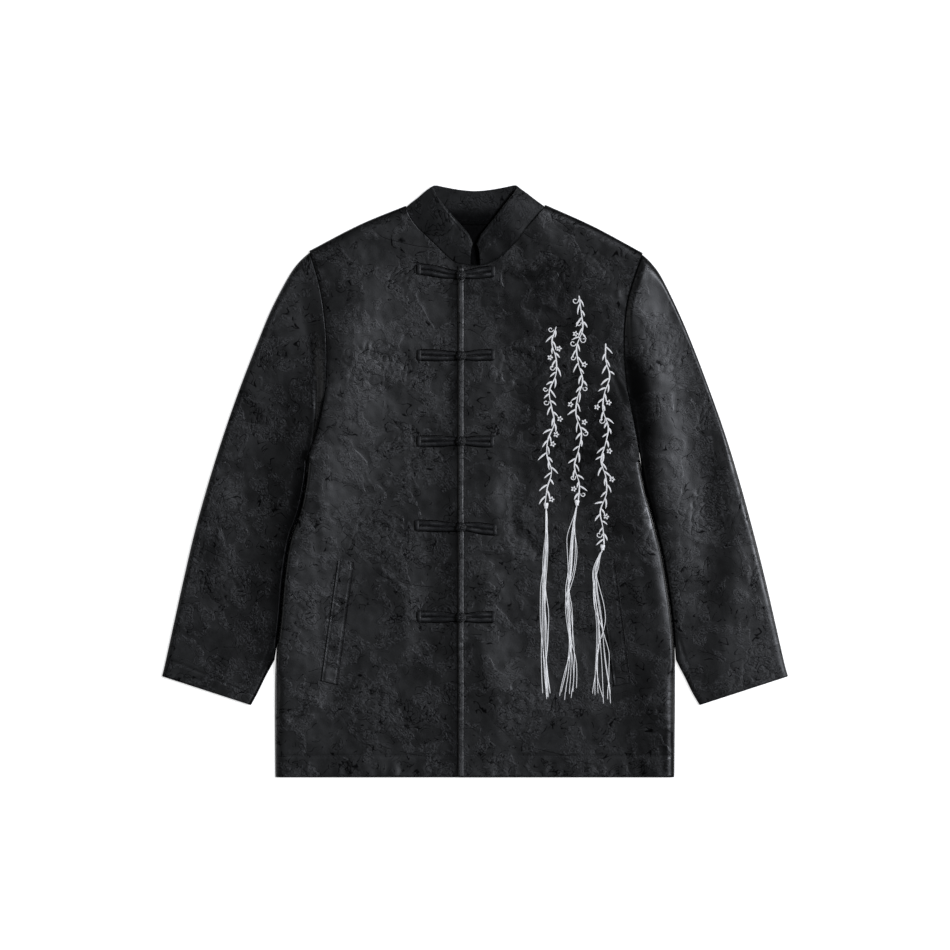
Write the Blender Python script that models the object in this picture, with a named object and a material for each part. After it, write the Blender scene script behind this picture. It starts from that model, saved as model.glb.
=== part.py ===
"""Tang jacket, buttoned up and laid flat on its back panel.

Units are metres, +Z is up, the collar points to +Y and the hem to -Y.
The wearer's right side lies at -X and the wearer's left side at +X; the left front
laps over the right front. Every cut piece is a closed cloth wall of even thickness.
Tables are in millimetres.
"""
import math

import bmesh
import bpy
from mathutils import Vector
from mathutils.bvhtree import BVHTree

# ---------------------------------------------------------------- driving dimensions
MM = 0.001
CLOTH_T = 1.8           # wall of the lined cloth
COLLAR_T = 2.2          # wall of the stiffened collar
SEAM_GAP = 0.5          # space left at every seam
REST_GAP = 0.35         # space between a cloth layer and the one it rests on
EDGE_ROUND = 11.0       # width over which a folded edge rounds down
HEM_Y = -390.7
BODY_RISE = 5.6         # middle surface of the fronts above the floor
SLEEVE_RISE = 4.6       # middle surface of the sleeves above the floor
HEM_RISE = 5.0
CUFF_RISE = 4.9
SLEEVE_MID = 2.7        # height of the sleeve's folded edges
LAP_STEP = 1.35         # how far each front moves from the other where they lap
STRAP_HALF = 7.0        # half width of a frog strap
STRAP_RISE = 2.3
KNOT_R = 6.4
WELT_T = 1.2
EDGE_ROLL_W = 6.6
EDGE_ROLL_RISE = 1.3
THREAD = 0.9            # side of one tassel thread
THREAD_PITCH = 1.38

# ------------------------------------------------------------------- pattern outlines
# (x, y) of the laid out garment, each run from neck or top to hem or cuff
RIGHT = {
    "shoulder": [(-91.1, 361.7), (-151.8, 336.6), (-217.8, 302.3)],
    "armhole": [(-217.8, 302.3), (-213.6, 287.0), (-207.4, 266.0), (-201.6, 238.0),
                (-197.3, 202.0), (-195.6, 163.7), (-197.3, 124.1), (-202.8, 90.0),
                (-211.9, 53.8), (-220.4, 27.7)],
    "side": [(-220.4, 27.7), (-224.4, -6.0), (-232.3, -42.9), (-244.8, -79.9),
             (-252.4, -129.4), (-257.4, -186.1), (-262.2, -232.3), (-263.6, -286.4),
             (-263.2, -390.7)],
    "outer": [(-217.8, 302.3), (-233.0, 288.1), (-247.2, 268.0), (-269.3, 225.7),
              (-286.9, 183.5), (-311.5, 120.1), (-333.5, 56.8), (-353.3, -6.6),
              (-370.9, -70.0), (-385.6, -133.3), (-399.6, -196.7), (-408.8, -238.9),
              (-413.2, -257.4)],
    "under": [(-264.6, -236.3), (-270.6, -247.4), (-277.4, -260.0), (-287.2, -280.2),
              (-295.7, -295.7)],
    "neck": [(-91.1, 361.7), (-87.1, 350.2), (-76.6, 335.3), (-60.1, 319.6),
             (-48.4, 308.6), (-37.0, 297.2), (-25.6, 288.4), (-8.6, 285.6), (3.0, 285.2)],
    "front": [(3.0, 285.2), (3.0, -390.7)],
}
LEFT = {
    "shoulder": [(92.4, 363.0), (155.8, 334.4), (220.4, 299.6)],
    "armhole": [(220.4, 299.6), (213.8, 280.8), (205.6, 256.1), (199.6, 231.0),
                (196.7, 202.0), (196.4, 166.7), (198.9, 132.0), (203.3, 106.6),
                (208.6, 80.8), (213.6, 54.1), (217.8, 25.1)],
    "side": [(217.8, 25.1), (224.4, -9.2), (235.0, -47.9), (246.4, -93.8),
             (255.2, -145.2), (261.4, -196.3), (263.4, -232.3), (263.5, -289.1),
             (262.7, -390.7)],
    "outer": [(220.4, 299.6), (233.3, 287.1), (246.8, 268.0), (267.6, 225.7),
              (285.6, 183.5), (309.8, 120.1), (332.0, 56.8), (351.1, -6.6),
              (368.3, -70.0), (384.1, -133.3), (398.6, -196.7), (408.2, -238.9),
              (413.2, -257.4)],
    "under": [(265.2, -236.3), (270.3, -246.5), (277.4, -260.0), (286.6, -279.0),
              (296.3, -295.7)],
    "neck": [(92.4, 363.0), (87.9, 357.4), (79.2, 347.1), (67.5, 333.3), (58.4, 321.1),
             (47.8, 309.2), (34.0, 297.0), (19.8, 288.6), (3.3, 284.3), (-22.4, 283.1)],
    "front": [(-22.4, 283.1), (-22.4, -390.7)],
}
BACK_NECK = [(-91.1, 361.7), (-72.6, 350.4), (-39.6, 342.3), (0.0, 339.9),
             (39.6, 342.5), (72.6, 351.1), (92.4, 363.0)]

# broad soft ridges of the top layer: crest as (x, y, rise), falloff to -x and to +x
BODY_RIDGES = [
    ([(-166.0, 310.0, 0.6), (-178.0, 199.0, 3.6), (-196.0, 107.0, 5.8), (-213.0, 28.0, 6.3),
      (-229.0, -51.0, 6.3), (-245.0, -131.0, 5.8), (-255.0, -223.0, 4.8),
      (-259.0, -389.0, 2.8)], 34.0, 48.0),
    ([(-156.0, 296.0, 0.6), (-168.0, 240.0, 3.0), (-182.0, 180.0, 3.4), (-196.0, 107.0, 1.6),
      (-206.0, 50.0, 0.3)], 42.0, 88.0),
    ([(186.0, 230.0, 0.2), (196.0, 107.0, 2.2), (207.0, 28.0, 3.8), (228.0, -51.0, 4.4),
      (244.0, -131.0, 4.4), (255.0, -210.0, 4.0), (260.0, -389.0, 3.0)], 40.0, 26.0),
    ([(-22.0, 240.0, 1.2), (-22.0, 60.0, 1.8), (-22.0, -380.0, 1.4)], 22.0, 130.0),
    ([(30.0, 20.0, 0.3), (24.0, -30.0, 1.3), (44.0, -84.0, 0.6)], 16.0, 22.0),
    ([(4.0, -190.0, 0.4), (22.0, -260.0, 1.6), (40.0, -340.0, 0.8)], 20.0, 46.0),
    ([(-94.0, -100.0, 0.3), (-92.0, -170.0, 1.0), (-94.0, -240.0, 0.4)], 16.0, 14.0),
]
SLEEVE_RIDGES = [
    ([(212.0, 296.0, 3.8), (217.0, 239.0, 4.6), (226.0, 173.0, 4.8), (237.0, 100.0, 4.8),
      (242.0, 41.0, 4.8), (246.0, 0.0, 4.6), (257.0, -51.0, 4.4), (265.0, -104.0, 3.8),
      (269.0, -165.0, 2.4), (276.0, -230.0, 0.8)], 13.0, 30.0),
    ([(318.0, 80.0, 0.4), (330.0, 41.0, 1.6), (352.0, -38.0, 2.4), (366.0, -144.0, 2.6),
      (384.0, -236.0, 2.2)], 27.0, 25.0),
    ([(-206.0, 230.0, 1.6), (-212.0, 107.0, 4.6), (-222.0, 28.0, 6.4), (-233.0, -51.0, 6.4),
      (-250.0, -131.0, 5.4), (-262.0, -210.0, 3.0)], 34.0, 12.0),
    ([(-250.0, 280.0, 1.6), (-282.0, 199.0, 1.4), (-300.0, 130.0, 0.6)], 20.0, 40.0),
    ([(-330.0, 40.0, 0.6), (-352.0, -60.0, 1.0), (-372.0, -170.0, 0.8)], 20.0, 50.0),
]
# smaller folds, ridge (+) or trough (-): from (x0, y0) to (x1, y1), width, rise
FOLDS = [
    (-150.0, -210.0, -210.0, -330.0, 16.0, -0.8),
    (42.0, -50.0, 96.0, -108.0, 9.0, -0.8),
    (60.0, -20.0, 64.0, -80.0, 9.0, 0.5),
    (-180.0, -345.0, -142.0, -364.0, 12.0, -1.2),
    (120.0, -190.0, 160.0, -330.0, 22.0, 0.7),
]

# collar: seam edge (bx, by), top edge (tx, ty) and heights of both, front end to front end
COLLAR = [
    # bx,    by,    bz,   tx,    ty,    tz
    (-6.6, 291.2, 5.6, -5.3, 312.0, 12.6),
    (-15.0, 291.4, 6.0, -8.0, 322.5, 13.2),
    (-26.4, 294.6, 6.6, -13.6, 330.6, 13.0),
    (-38.0, 303.2, 6.9, -22.6, 341.0, 12.2),
    (-50.4, 315.0, 6.9, -33.2, 353.5, 11.2),
    (-62.6, 326.6, 6.8, -42.6, 365.0, 10.2),
    (-74.6, 338.8, 6.2, -49.8, 374.4, 9.2),
    (-84.6, 351.4, 5.3, -54.2, 383.0, 7.8),
    (-89.8, 362.0, 3.6, -56.4, 388.6, 4.8),
    (-84.0, 360.4, 1.5, -51.4, 389.8, 1.8),
    (-71.0, 353.8, 1.1, -41.0, 387.6, 1.1),
    (-39.0, 344.6, 1.1, -20.6, 383.9, 1.1),
    (0.0, 341.9, 1.1, 0.0, 382.2, 1.1),
    (39.0, 344.8, 1.1, 20.6, 383.9, 1.1),
    (71.0, 354.6, 1.1, 41.0, 387.6, 1.1),
    (85.0, 361.6, 1.5, 51.4, 389.8, 1.8),
    (91.0, 363.2, 3.6, 56.4, 388.6, 4.8),
    (86.0, 354.8, 5.3, 53.6, 383.0, 8.2),
    (75.4, 342.6, 6.2, 46.6, 373.4, 10.2),
    (63.8, 328.8, 6.8, 38.2, 363.0, 11.4),
    (54.4, 316.6, 6.9, 29.0, 350.6, 12.0),
    (43.0, 304.8, 6.9, 20.4, 339.4, 12.6),
    (31.0, 296.2, 7.2, 13.4, 330.0, 13.4),
    (17.0, 290.6, 7.6, 8.0, 322.0, 14.2),
    (6.4, 288.6, 7.9, 5.4, 311.0, 13.8),
]

# frogs: height of the knot, outer and inner end height of each strap, strap reach
FROGS = [
    # y,     left_out, left_in, right_out, right_in, x_left, x_right
    (271.6, 279.6, 272.6, 276.6, 272.6, -77.0, 26.6),
    (165.2, 166.4, 165.2, 166.6, 165.2, -76.6, 26.4),
    (52.6, 52.4, 52.6, 52.0, 52.6, -76.8, 25.4),
    (-61.0, -58.6, -61.0, -64.4, -60.4, -79.4, 28.8),
    (-180.2, -178.8, -180.2, -179.6, -180.2, -76.6, 27.0),
]

# welt pockets: top outer, top inner, bottom inner, bottom outer corner
WELTS = {
    "right": [(-181.0, -105.2), (-159.4, -107.0), (-181.2, -269.4), (-203.4, -263.8)],
    "left": [(161.0, -107.0), (184.4, -102.0), (205.6, -266.4), (183.4, -271.0)],
}

# tassels: y of a section, x of the first, middle and last thread there
TASSELS = {
    "inner": [(-37.0, 89.6, 93.7, 97.8), (-80.0, 90.2, 94.6, 99.6),
              (-140.0, 86.2, 90.6, 95.0), (-172.0, 86.4, 90.8, 95.4),
              (-222.0, 86.2, 90.4, 94.8), (-262.0, 87.4, 92.0, 97.6),
              (-281.0, 88.4, 94.4, 101.0)],
    "middle": [(-33.0, 130.4, 134.6, 138.8), (-72.0, 123.8, 128.2, 132.6),
               (-120.0, 121.6, 125.8, 130.2), (-146.0, 117.6, 121.8, 126.2),
               (-184.0, 121.4, 125.6, 130.0), (-222.0, 122.6, 127.2, 132.2),
               (-256.0, 119.2, 125.0, 131.8), (-282.0, 112.8, 121.4, 130.2)],
    "outer": [(-92.0, 164.2, 168.4, 172.6), (-114.0, 154.6, 159.0, 163.6),
              (-142.0, 152.8, 158.2, 164.2), (-166.0, 153.8, 161.6, 169.6),
              (-192.0, 154.6, 165.2, 176.4), (-224.0, 153.4, 166.4, 180.4),
              (-254.0, 153.6, 167.2, 184.4), (-288.0, 154.2, 168.8, 190.6)],
}
THREADS_PER_LAYER = 6

# -------------------------------------------------------------------------- materials
COLOURS = {
    # name: (base colour, roughness, sheen weight)
    "jacquard": ((0.020, 0.021, 0.023, 1.0), 0.62, 0.25),
    "jacquard_collar": ((0.022, 0.023, 0.025, 1.0), 0.58, 0.25),
    "satin_piping": ((0.012, 0.012, 0.014, 1.0), 0.48, 0.30),
    "white_thread": ((0.82, 0.82, 0.80, 1.0), 0.55, 0.20),
}


def material(name, kind):
    """A Principled material of its own for one cut piece."""
    colour, rough, sheen = COLOURS[kind]
    mat = bpy.data.materials.new(name)
    mat.use_nodes = True
    shader = mat.node_tree.nodes["Principled BSDF"]
    shader.inputs["Base Color"].default_value = colour
    shader.inputs["Roughness"].default_value = rough
    shader.inputs["Sheen Weight"].default_value = sheen
    mat.diffuse_color = colour
    return mat


# ---------------------------------------------------------------------- curve helpers
def clamp01(value):
    return max(0.0, min(1.0, value))


def smooth(low, high, value):
    t = clamp01((value - low) / (high - low))
    return t * t * (3.0 - 2.0 * t)


def catmull(points, steps=6):
    """A smooth run through the points, as many short chords."""
    if len(points) < 3:
        return list(points)
    first = [2.0 * a - b for a, b in zip(points[0], points[1])]
    last = [2.0 * a - b for a, b in zip(points[-1], points[-2])]
    run = [first] + [list(p) for p in points] + [last]
    out = []
    for k in range(1, len(run) - 2):
        p0, p1, p2, p3 = run[k - 1], run[k], run[k + 1], run[k + 2]
        for step in range(steps):
            t = step / steps
            out.append(tuple(
                0.5 * (2.0 * b + (c - a) * t + (2.0 * a - 5.0 * b + 4.0 * c - d) * t * t
                       + (3.0 * b - a - 3.0 * c + d) * t * t * t)
                for a, b, c, d in zip(p0, p1, p2, p3)))
    out.append(tuple(points[-1]))
    return out


def lengths(points):
    total = [0.0]
    for a, b in zip(points, points[1:]):
        total.append(total[-1] + math.dist(a, b))
    return total


def at_fractions(points, fractions):
    """Points of a run at the given fractions of its length."""
    along = lengths(points)
    out = []
    for f in fractions:
        want = clamp01(f) * along[-1]
        k = 0
        while k < len(points) - 2 and along[k + 1] < want:
            k += 1
        span = along[k + 1] - along[k]
        t = (want - along[k]) / span if span > 1e-9 else 0.0
        out.append(tuple(a + (b - a) * t for a, b in zip(points[k], points[k + 1])))
    return out


def offset_run(points, amount):
    """Move a run sideways; a positive amount goes to the left of its direction."""
    out = []
    for k, p in enumerate(points):
        a = points[max(0, k - 1)]
        b = points[min(len(points) - 1, k + 1)]
        dx, dy = b[0] - a[0], b[1] - a[1]
        size = math.hypot(dx, dy)
        out.append((p[0] - dy / size * amount, p[1] + dx / size * amount))
    return out


def nearest(x, y, chains):
    """Distance to the nearest outline run and the outward direction there."""
    best = (1e9, 0.0, 0.0)
    for points, side in chains:
        for a, b in zip(points, points[1:]):
            dx, dy = b[0] - a[0], b[1] - a[1]
            square = dx * dx + dy * dy
            t = clamp01(((x - a[0]) * dx + (y - a[1]) * dy) / square)
            qx, qy = a[0] + dx * t, a[1] + dy * t
            gap = math.hypot(qx - x, qy - y)
            if gap < best[0] - 1e-6:
                if gap > 0.05:
                    best = (gap, (qx - x) / gap, (qy - y) / gap)
                else:
                    size = math.sqrt(square)
                    best = (gap, -dy / size * side, dx / size * side)
    return best


def cluster(length, near, far, count):
    """Fractions of a length, with extra stations close to a rounded end."""
    marks = [0.0, 1.2, 4.2] if near else [0.0]
    tail = [0.0, 1.2, 4.2] if far else [0.0]
    start = EDGE_ROUND if near else 0.0
    stop = length - (EDGE_ROUND if far else 0.0)
    inner = [start + (stop - start) * k / count for k in range(count + 1)]
    if not near:
        inner = inner[1:]
    if not far:
        inner = inner[:-1]
    run = marks + inner + [length - t for t in reversed(tail)]
    return [r / length for r in run]


# --------------------------------------------------------------------- cloth surfaces
def ridges_at(x, y, table):
    """Rise of the broad ridges, each steeper to one side than to the other."""
    total = 0.0
    for points, left, right in table:
        best, side, rise = 1e9, 0.0, 0.0
        for a, b in zip(points[:-1], points[1:]):
            dx, dy = b[0] - a[0], b[1] - a[1]
            t = clamp01(((x - a[0]) * dx + (y - a[1]) * dy) / (dx * dx + dy * dy))
            vx, vy = x - a[0] - dx * t, y - a[1] - dy * t
            gap = math.hypot(vx, vy)
            if gap < best:
                best, side, rise = gap, vx, a[2] + (b[2] - a[2]) * t
        width = right + (left - right) * (0.5 - 0.5 * math.tanh(side / 5.0))
        total += rise * math.exp(-(best / width) ** 2)
    return total


def top_height(x, y, base=BODY_RISE, table=None):
    """Middle surface of the top cloth layer, away from its folded edges."""
    fade = smooth(HEM_Y, HEM_Y + 110.0, y)
    rise = HEM_RISE + (base - HEM_RISE) * fade
    rise += ridges_at(x, y, BODY_RIDGES if table is None else table) * (0.4 + 0.6 * fade)
    for x0, y0, x1, y1, width, height in FOLDS:
        dx, dy = x1 - x0, y1 - y0
        t = clamp01(((x - x0) * dx + (y - y0) * dy) / (dx * dx + dy * dy))
        gap = math.hypot(x - x0 - dx * t, y - y0 - dy * t)
        ends = smooth(0.0, 0.25, t) * (1.0 - smooth(0.75, 1.0, t))
        rise += height * (0.25 + 0.75 * ends) * fade * math.exp(-(gap / width) ** 2)
    return rise


def front_height(x, y, over):
    if over:
        lap = LAP_STEP * (1.0 - smooth(8.0, 60.0, x))
    else:
        lap = -LAP_STEP * smooth(-150.0, -26.0, x)
    return top_height(x, y) + lap


def rounded(height, low, gap, outward, width=EDGE_ROUND):
    """Quarter-round drop of a layer to its folded edge, with its normal."""
    if gap >= width:
        return height, Vector((0.0, 0.0, 1.0))
    run = 1.0 - gap / width
    lift = math.sqrt(max(0.0, 1.0 - run * run))
    rise = height - low
    normal = Vector((outward[0] * run / width, outward[1] * run / width,
                     lift / max(abs(rise), 0.5) * (1.0 if rise > 0 else -1.0)))
    return low + rise * lift, normal.normalized()


def along(runs, breaks, fractions):
    """Points down several runs in turn; a corner falls on each break."""
    out = []
    for f in fractions:
        k = 0
        while k < len(runs) - 1 and f > breaks[k + 1] + 1e-9:
            k += 1
        part = (f - breaks[k]) / (breaks[k + 1] - breaks[k])
        out.append(at_fractions(runs[k], [part])[0])
    return out


def with_break(fractions, value):
    """Move the closest inner fraction onto a corner."""
    inner = min(range(1, len(fractions) - 1), key=lambda k: abs(fractions[k] - value))
    return fractions[:inner] + [value] + fractions[inner + 1:]


def coons(b, t, lf, rt, across, up):
    """Plan of a four sided piece from its boundary points; rows go bottom to top."""
    grid = []
    for j, v in enumerate(up):
        row = []
        for i, u in enumerate(across):
            point = []
            for k in (0, 1):
                ruled_v = (1 - v) * b[i][k] + v * t[i][k]
                ruled_u = (1 - u) * lf[j][k] + u * rt[j][k]
                corner = ((1 - u) * (1 - v) * b[0][k] + u * (1 - v) * b[-1][k]
                          + (1 - u) * v * t[0][k] + u * v * t[-1][k])
                point.append(ruled_v + ruled_u - corner)
            row.append(tuple(point))
        grid.append(row)
    return grid


# ----------------------------------------------------------------------- mesh helpers
def add_object(name, verts, faces, mat, is_smooth=True):
    mesh = bpy.data.meshes.new(name)
    mesh.from_pydata([tuple(c * MM for c in v) for v in verts], [], faces)
    bm = bmesh.new()
    bm.from_mesh(mesh)
    bmesh.ops.recalc_face_normals(bm, faces=bm.faces)
    bmesh.ops.triangulate(bm, faces=bm.faces)
    bm.to_mesh(mesh)
    bm.free()
    mesh.materials.append(mat)
    obj = bpy.data.objects.new(name, mesh)
    bpy.context.scene.collection.objects.link(obj)
    if is_smooth:
        for poly in mesh.polygons:
            poly.use_smooth = True
    return obj


def wall(name, rows, normals, thick, mat, ring=False):
    """A closed cloth wall round a grid of middle surface points."""
    nj, ni = len(rows), len(rows[0])
    verts = []
    for sign in (0.5, -0.5):
        for j in range(nj):
            for i in range(ni):
                p, n = Vector(rows[j][i]), normals[j][i]
                verts.append(tuple(p + n * (thick * sign)))
    low = nj * ni
    faces = []
    last = ni if ring else ni - 1
    for j in range(nj - 1):
        for i in range(last):
            a, b = j * ni + i, j * ni + (i + 1) % ni
            c, d = (j + 1) * ni + (i + 1) % ni, (j + 1) * ni + i
            faces.append((a, b, c, d))
            faces.append((a + low, d + low, c + low, b + low))
    for i in range(last):
        for j in (0, nj - 1):
            a, b = j * ni + i, j * ni + (i + 1) % ni
            faces.append((a, a + low, b + low, b) if j == 0 else (a, b, b + low, a + low))
    if not ring:
        for j in range(nj - 1):
            for i in (0, ni - 1):
                a, b = j * ni + i, (j + 1) * ni + i
                faces.append((a, b, b + low, a + low) if i == 0 else (a, a + low, b + low, b))
    return add_object(name, verts, faces, mat)


def grid_normals(rows, ring=False):
    nj, ni = len(rows), len(rows[0])
    out = []
    for j in range(nj):
        line = []
        for i in range(ni):
            i0, i1 = (i - 1, i + 1) if not ring else ((i - 1) % ni, (i + 1) % ni)
            if not ring:
                i0, i1 = max(0, i0), min(ni - 1, i1)
            du = Vector(rows[j][i1]) - Vector(rows[j][i0])
            dv = Vector(rows[min(nj - 1, j + 1)][i]) - Vector(rows[max(0, j - 1)][i])
            line.append(du.cross(dv).normalized())
        out.append(line)
    return out


# ------------------------------------------------------------------------ cut pieces
def body_runs(side):
    """Inset boundary runs of one half of the body, as the edge round needs them."""
    sign = 1.0 if side is RIGHT else -1.0
    inset = CLOTH_T / 2
    shoulder = offset_run(catmull(side["shoulder"]), -sign * inset)
    edge = offset_run(catmull(side["side"]), sign * inset)
    armhole = catmull(side["armhole"])
    armhole[0] = shoulder[-1]
    armhole[-1] = edge[0]
    return shoulder, armhole, edge, sign


def make_front(name, side, over):
    shoulder, armhole, edge, sign = body_runs(side)
    low = CLOTH_T + REST_GAP
    neck = list(reversed(catmull(side["neck"])))
    neck[-1] = shoulder[0]
    neck_at, pit_at = 0.68, 0.56
    across = cluster(230.0, False, True, 15)
    up = with_break(with_break(cluster(600.0, False, True, 25), neck_at), pit_at)
    inner = along([list(reversed(side["front"])), neck], [0.0, neck_at, 1.0], up)
    outer = along([list(reversed(edge)), list(reversed(armhole))],
                  [0.0, pit_at, 1.0], up)
    plan = coons(at_fractions([inner[0], outer[0]], across),
                 at_fractions(shoulder, across), inner, outer, across, up)
    chains = [(shoulder, sign), (edge, sign * -1.0)]
    rows, normals = [], []
    for line in plan:
        row, nrow = [], []
        for x, y in line:
            gap, ox, oy = nearest(x, y, chains)
            beside = smooth(-270.0, -240.0, y) * (1.0 - smooth(-20.0, 25.0, y))
            width = EDGE_ROUND - (EDGE_ROUND - (3.0 if sign > 0 else 7.0)) * beside
            z, n = rounded(front_height(x, y, over), low, gap, (ox, oy), width)
            row.append((x, y, z))
            nrow.append(n)
        rows.append(row)
        normals.append(nrow)
    return wall(name, rows, normals, CLOTH_T, material(name, "jacquard"))


def make_back():
    across = [k / 14 for k in range(15)]
    up = [k / 30 for k in range(31)]
    sides = []
    for half in (RIGHT, LEFT):
        runs = [list(reversed(catmull(half["side"]))), list(reversed(catmull(half["armhole"])))]
        sides.append(along(runs, [0.0, 0.5, 1.0], up))
    top = along([list(reversed(catmull(RIGHT["shoulder"]))), catmull(BACK_NECK),
                 catmull(LEFT["shoulder"])], [0.0, 4 / 14, 10 / 14, 1.0], across)
    bottom = at_fractions([sides[0][0], sides[1][0]], across)
    plan = coons(bottom, top, sides[0], sides[1], across, up)
    rows = [[(x, y, CLOTH_T / 2) for x, y in line] for line in plan]
    normals = [[Vector((0.0, 0.0, 1.0)) for _ in line] for line in plan]
    return wall("back_panel", rows, normals, CLOTH_T, material("back_panel", "jacquard"))


def make_sleeve(name, side):
    """A flattened tube; its rings run round the top layer, then under."""
    sign = 1.0 if side is RIGHT else -1.0
    inset = CLOTH_T / 2
    outer = offset_run(catmull(side["outer"]), sign * inset)
    clear = offset_run(catmull(side["side"]), -sign * (inset + SEAM_GAP + 0.5))
    inner = [p for p in clear if p[1] > -226.0] + offset_run(
        catmull(side["under"]), -sign * inset)
    gap = SEAM_GAP + 0.15
    seam = [(x - sign * (gap + 1.0 * smooth(110.0, 30.0, y)), y)
            for x, y in catmull(side["armhole"])]
    outer[0] = (outer[0][0] - sign * gap, outer[0][1] - inset)
    inner[0] = (inner[0][0] - sign * (gap + 0.4), seam[-1][1] - 1.0)
    seam[0], seam[-1] = outer[0], inner[0]
    stations = [0.0, 0.03, 0.07, 0.12, 0.18, 0.25, 0.32, 0.4, 0.48, 0.56, 0.64,
                0.72, 0.8, 0.88, 0.95, 1.0]
    out_pts = at_fractions(outer, stations)
    in_pts = at_fractions(inner, stations)
    chains = [(outer, -sign), (inner, sign)]
    rows, normals = [], []
    for s, o, n in zip(stations, out_pts, in_pts):
        width = math.dist(o, n)
        top = cluster(width, True, True, 13)
        under = [1.0 - d / width for d in (0.9, 3.0, 9.0)]
        under += [1.0 - (9.0 + (width - 18.0) * k / 5) / width for k in (1, 2, 3, 4)]
        under += [d / width for d in (9.0, 3.0, 0.9)]
        hang = 1.0 - smooth(0.0, 0.4, s)
        curve = at_fractions(seam, top + under)
        row, nrow = [], []
        for k, w in enumerate(top + under):
            x = o[0] + (n[0] - o[0]) * w
            y = o[1] + (n[1] - o[1]) * w
            x += (curve[k][0] - (seam[0][0] + (seam[-1][0] - seam[0][0]) * w)) * hang
            y += (curve[k][1] - (seam[0][1] + (seam[-1][1] - seam[0][1]) * w)) * hang
            gap, ox, oy = nearest(x, y, chains)
            gap = min(gap, w * width, (1.0 - w) * width)
            if k < len(top):
                free = smooth(4.0, 46.0, s * 600.0)
                high = top_height(x, y) * (1.0 - free)
                high += top_height(x, y, SLEEVE_RISE, SLEEVE_RIDGES) * free
                high += (CUFF_RISE - high) * 0.55 * smooth(0.6, 1.0, s)
                inside = w > 0.5 and y > -245.0
                if sign > 0:
                    edge = 1.6 if inside else 7.0
                else:
                    edge = 4.0 if inside else 9.0
                edge = EDGE_ROUND + (edge - EDGE_ROUND) * smooth(8.0, 52.0, s * 600.0)
                z, nn = rounded(high, SLEEVE_MID, gap, (ox, oy), edge)
            else:
                z, nn = rounded(CLOTH_T / 2, SLEEVE_MID, gap, (ox, oy), 3.0)
                if gap >= 3.0:
                    nn = Vector((0.0, 0.0, -1.0))
            row.append((x, y, z))
            nrow.append(nn)
        rows.append(row)
        normals.append(nrow)
    return wall(name, rows, normals, CLOTH_T, material(name, "jacquard"), ring=True)


def make_collar():
    """Stand collar, flattened: two front halves above, the back half beneath."""
    gap = SEAM_GAP + 0.5
    seams = [offset_run(catmull(RIGHT["neck"]), gap),
             offset_run(catmull(BACK_NECK), gap + 0.9),
             offset_run(catmull(LEFT["neck"]), -gap - 0.1)]
    run = catmull(COLLAR, 4)
    fractions = [k / 44 for k in range(45)]
    marks = []
    for mark in at_fractions(run, fractions):
        bx, by, bz = mark[:3]
        seam = seams[1] if bz < 2.4 else (seams[0] if bx < 0.0 else seams[2])
        if bz < 2.4 or bz > 4.9:
            away, ox, oy = nearest(bx, by, [(seam, 1.0)])
            if 0.05 < away < 9.0:
                bx, by = bx + ox * away, by + oy * away
        marks.append((bx, by, bz) + tuple(mark[3:]))
    rows = []
    for w in (0.0, 0.33, 0.67, 1.0):
        row = []
        for bx, by, bz, tx, ty, tz in marks:
            row.append((bx + (tx - bx) * w, by + (ty - by) * w, bz + (tz - bz) * w))
        rows.append(row)
    normals = grid_normals(rows)
    return wall("stand_collar", rows, normals, COLLAR_T, material("stand_collar", "jacquard_collar"))


# ------------------------------------------------------------- pieces lying on panels
def tree_of(obj):
    verts = [v.co / MM for v in obj.data.vertices]
    polys = [tuple(p.vertices) for p in obj.data.polygons]
    return BVHTree.FromPolygons(verts, polys)


def surface(trees, x, y, reach=0.0):
    """Top of the cloth at a place, or the highest of it within a small reach."""
    best = 0.0
    spots = [(0.0, 0.0)]
    if reach > 0.0:
        spots += [(reach, 0.0), (-reach, 0.0), (0.0, reach), (0.0, -reach)]
    for dx, dy in spots:
        for tree in trees:
            hit = tree.ray_cast(Vector((x + dx, y + dy, 80.0)), Vector((0.0, 0.0, -1.0)))
            if hit[0] is not None:
                best = max(best, hit[0].z)
    return best


def swept(name, stations, mat):
    """A closed body through rings of points with the same count."""
    count = len(stations[0])
    verts = [p for ring in stations for p in ring]
    faces = []
    for j in range(len(stations) - 1):
        for i in range(count):
            k = (i + 1) % count
            faces.append((j * count + i, j * count + k, (j + 1) * count + k,
                          (j + 1) * count + i))
    faces.append(tuple(range(count)))
    top = (len(stations) - 1) * count
    faces.append(tuple(reversed(range(top, top + count))))
    return add_object(name, verts, faces, mat)


def make_strap(name, trees, x_out, y_out, x_in, y_in):
    """A frog strap: two strips side by side, held by a band at the outer end."""
    sign = 1.0 if x_in > x_out else -1.0
    length = abs(x_in - x_out)
    # distance along, half width, rise, groove rise
    plan = [(0.0, 0.9, 0.7, 0.7), (0.8, 1.12, 1.2, 1.2), (5.2, 1.12, 1.2, 1.2),
            (6.0, 1.0, 1.0, 0.45), (0.4 * length, 0.98, 1.0, 0.4),
            (0.75 * length, 0.92, 1.0, 0.4), (length, 0.72, 0.85, 0.45)]
    rings = []
    for along, wide, rise, groove in plan:
        t = along / length
        x = x_out + sign * along
        y = y_out + (y_in - y_out) * t
        half = STRAP_HALF * wide
        high = STRAP_RISE * rise
        low = STRAP_RISE * groove
        profile = [(-1.0, 0.0), (-1.0, 0.55 * high), (-0.78, high), (-0.32, high),
                   (-0.1, low), (0.1, low), (0.32, high), (0.78, high),
                   (1.0, 0.55 * high), (1.0, 0.0)]
        base = max(surface(trees, x, y + half * k, 1.2) for k in (-1.0, -0.5, 0.0, 0.5, 1.0))
        rings.append([(x, y + half * a, base + REST_GAP + z) for a, z in profile])
    return swept(name, rings, material(name, "satin_piping"))


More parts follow.
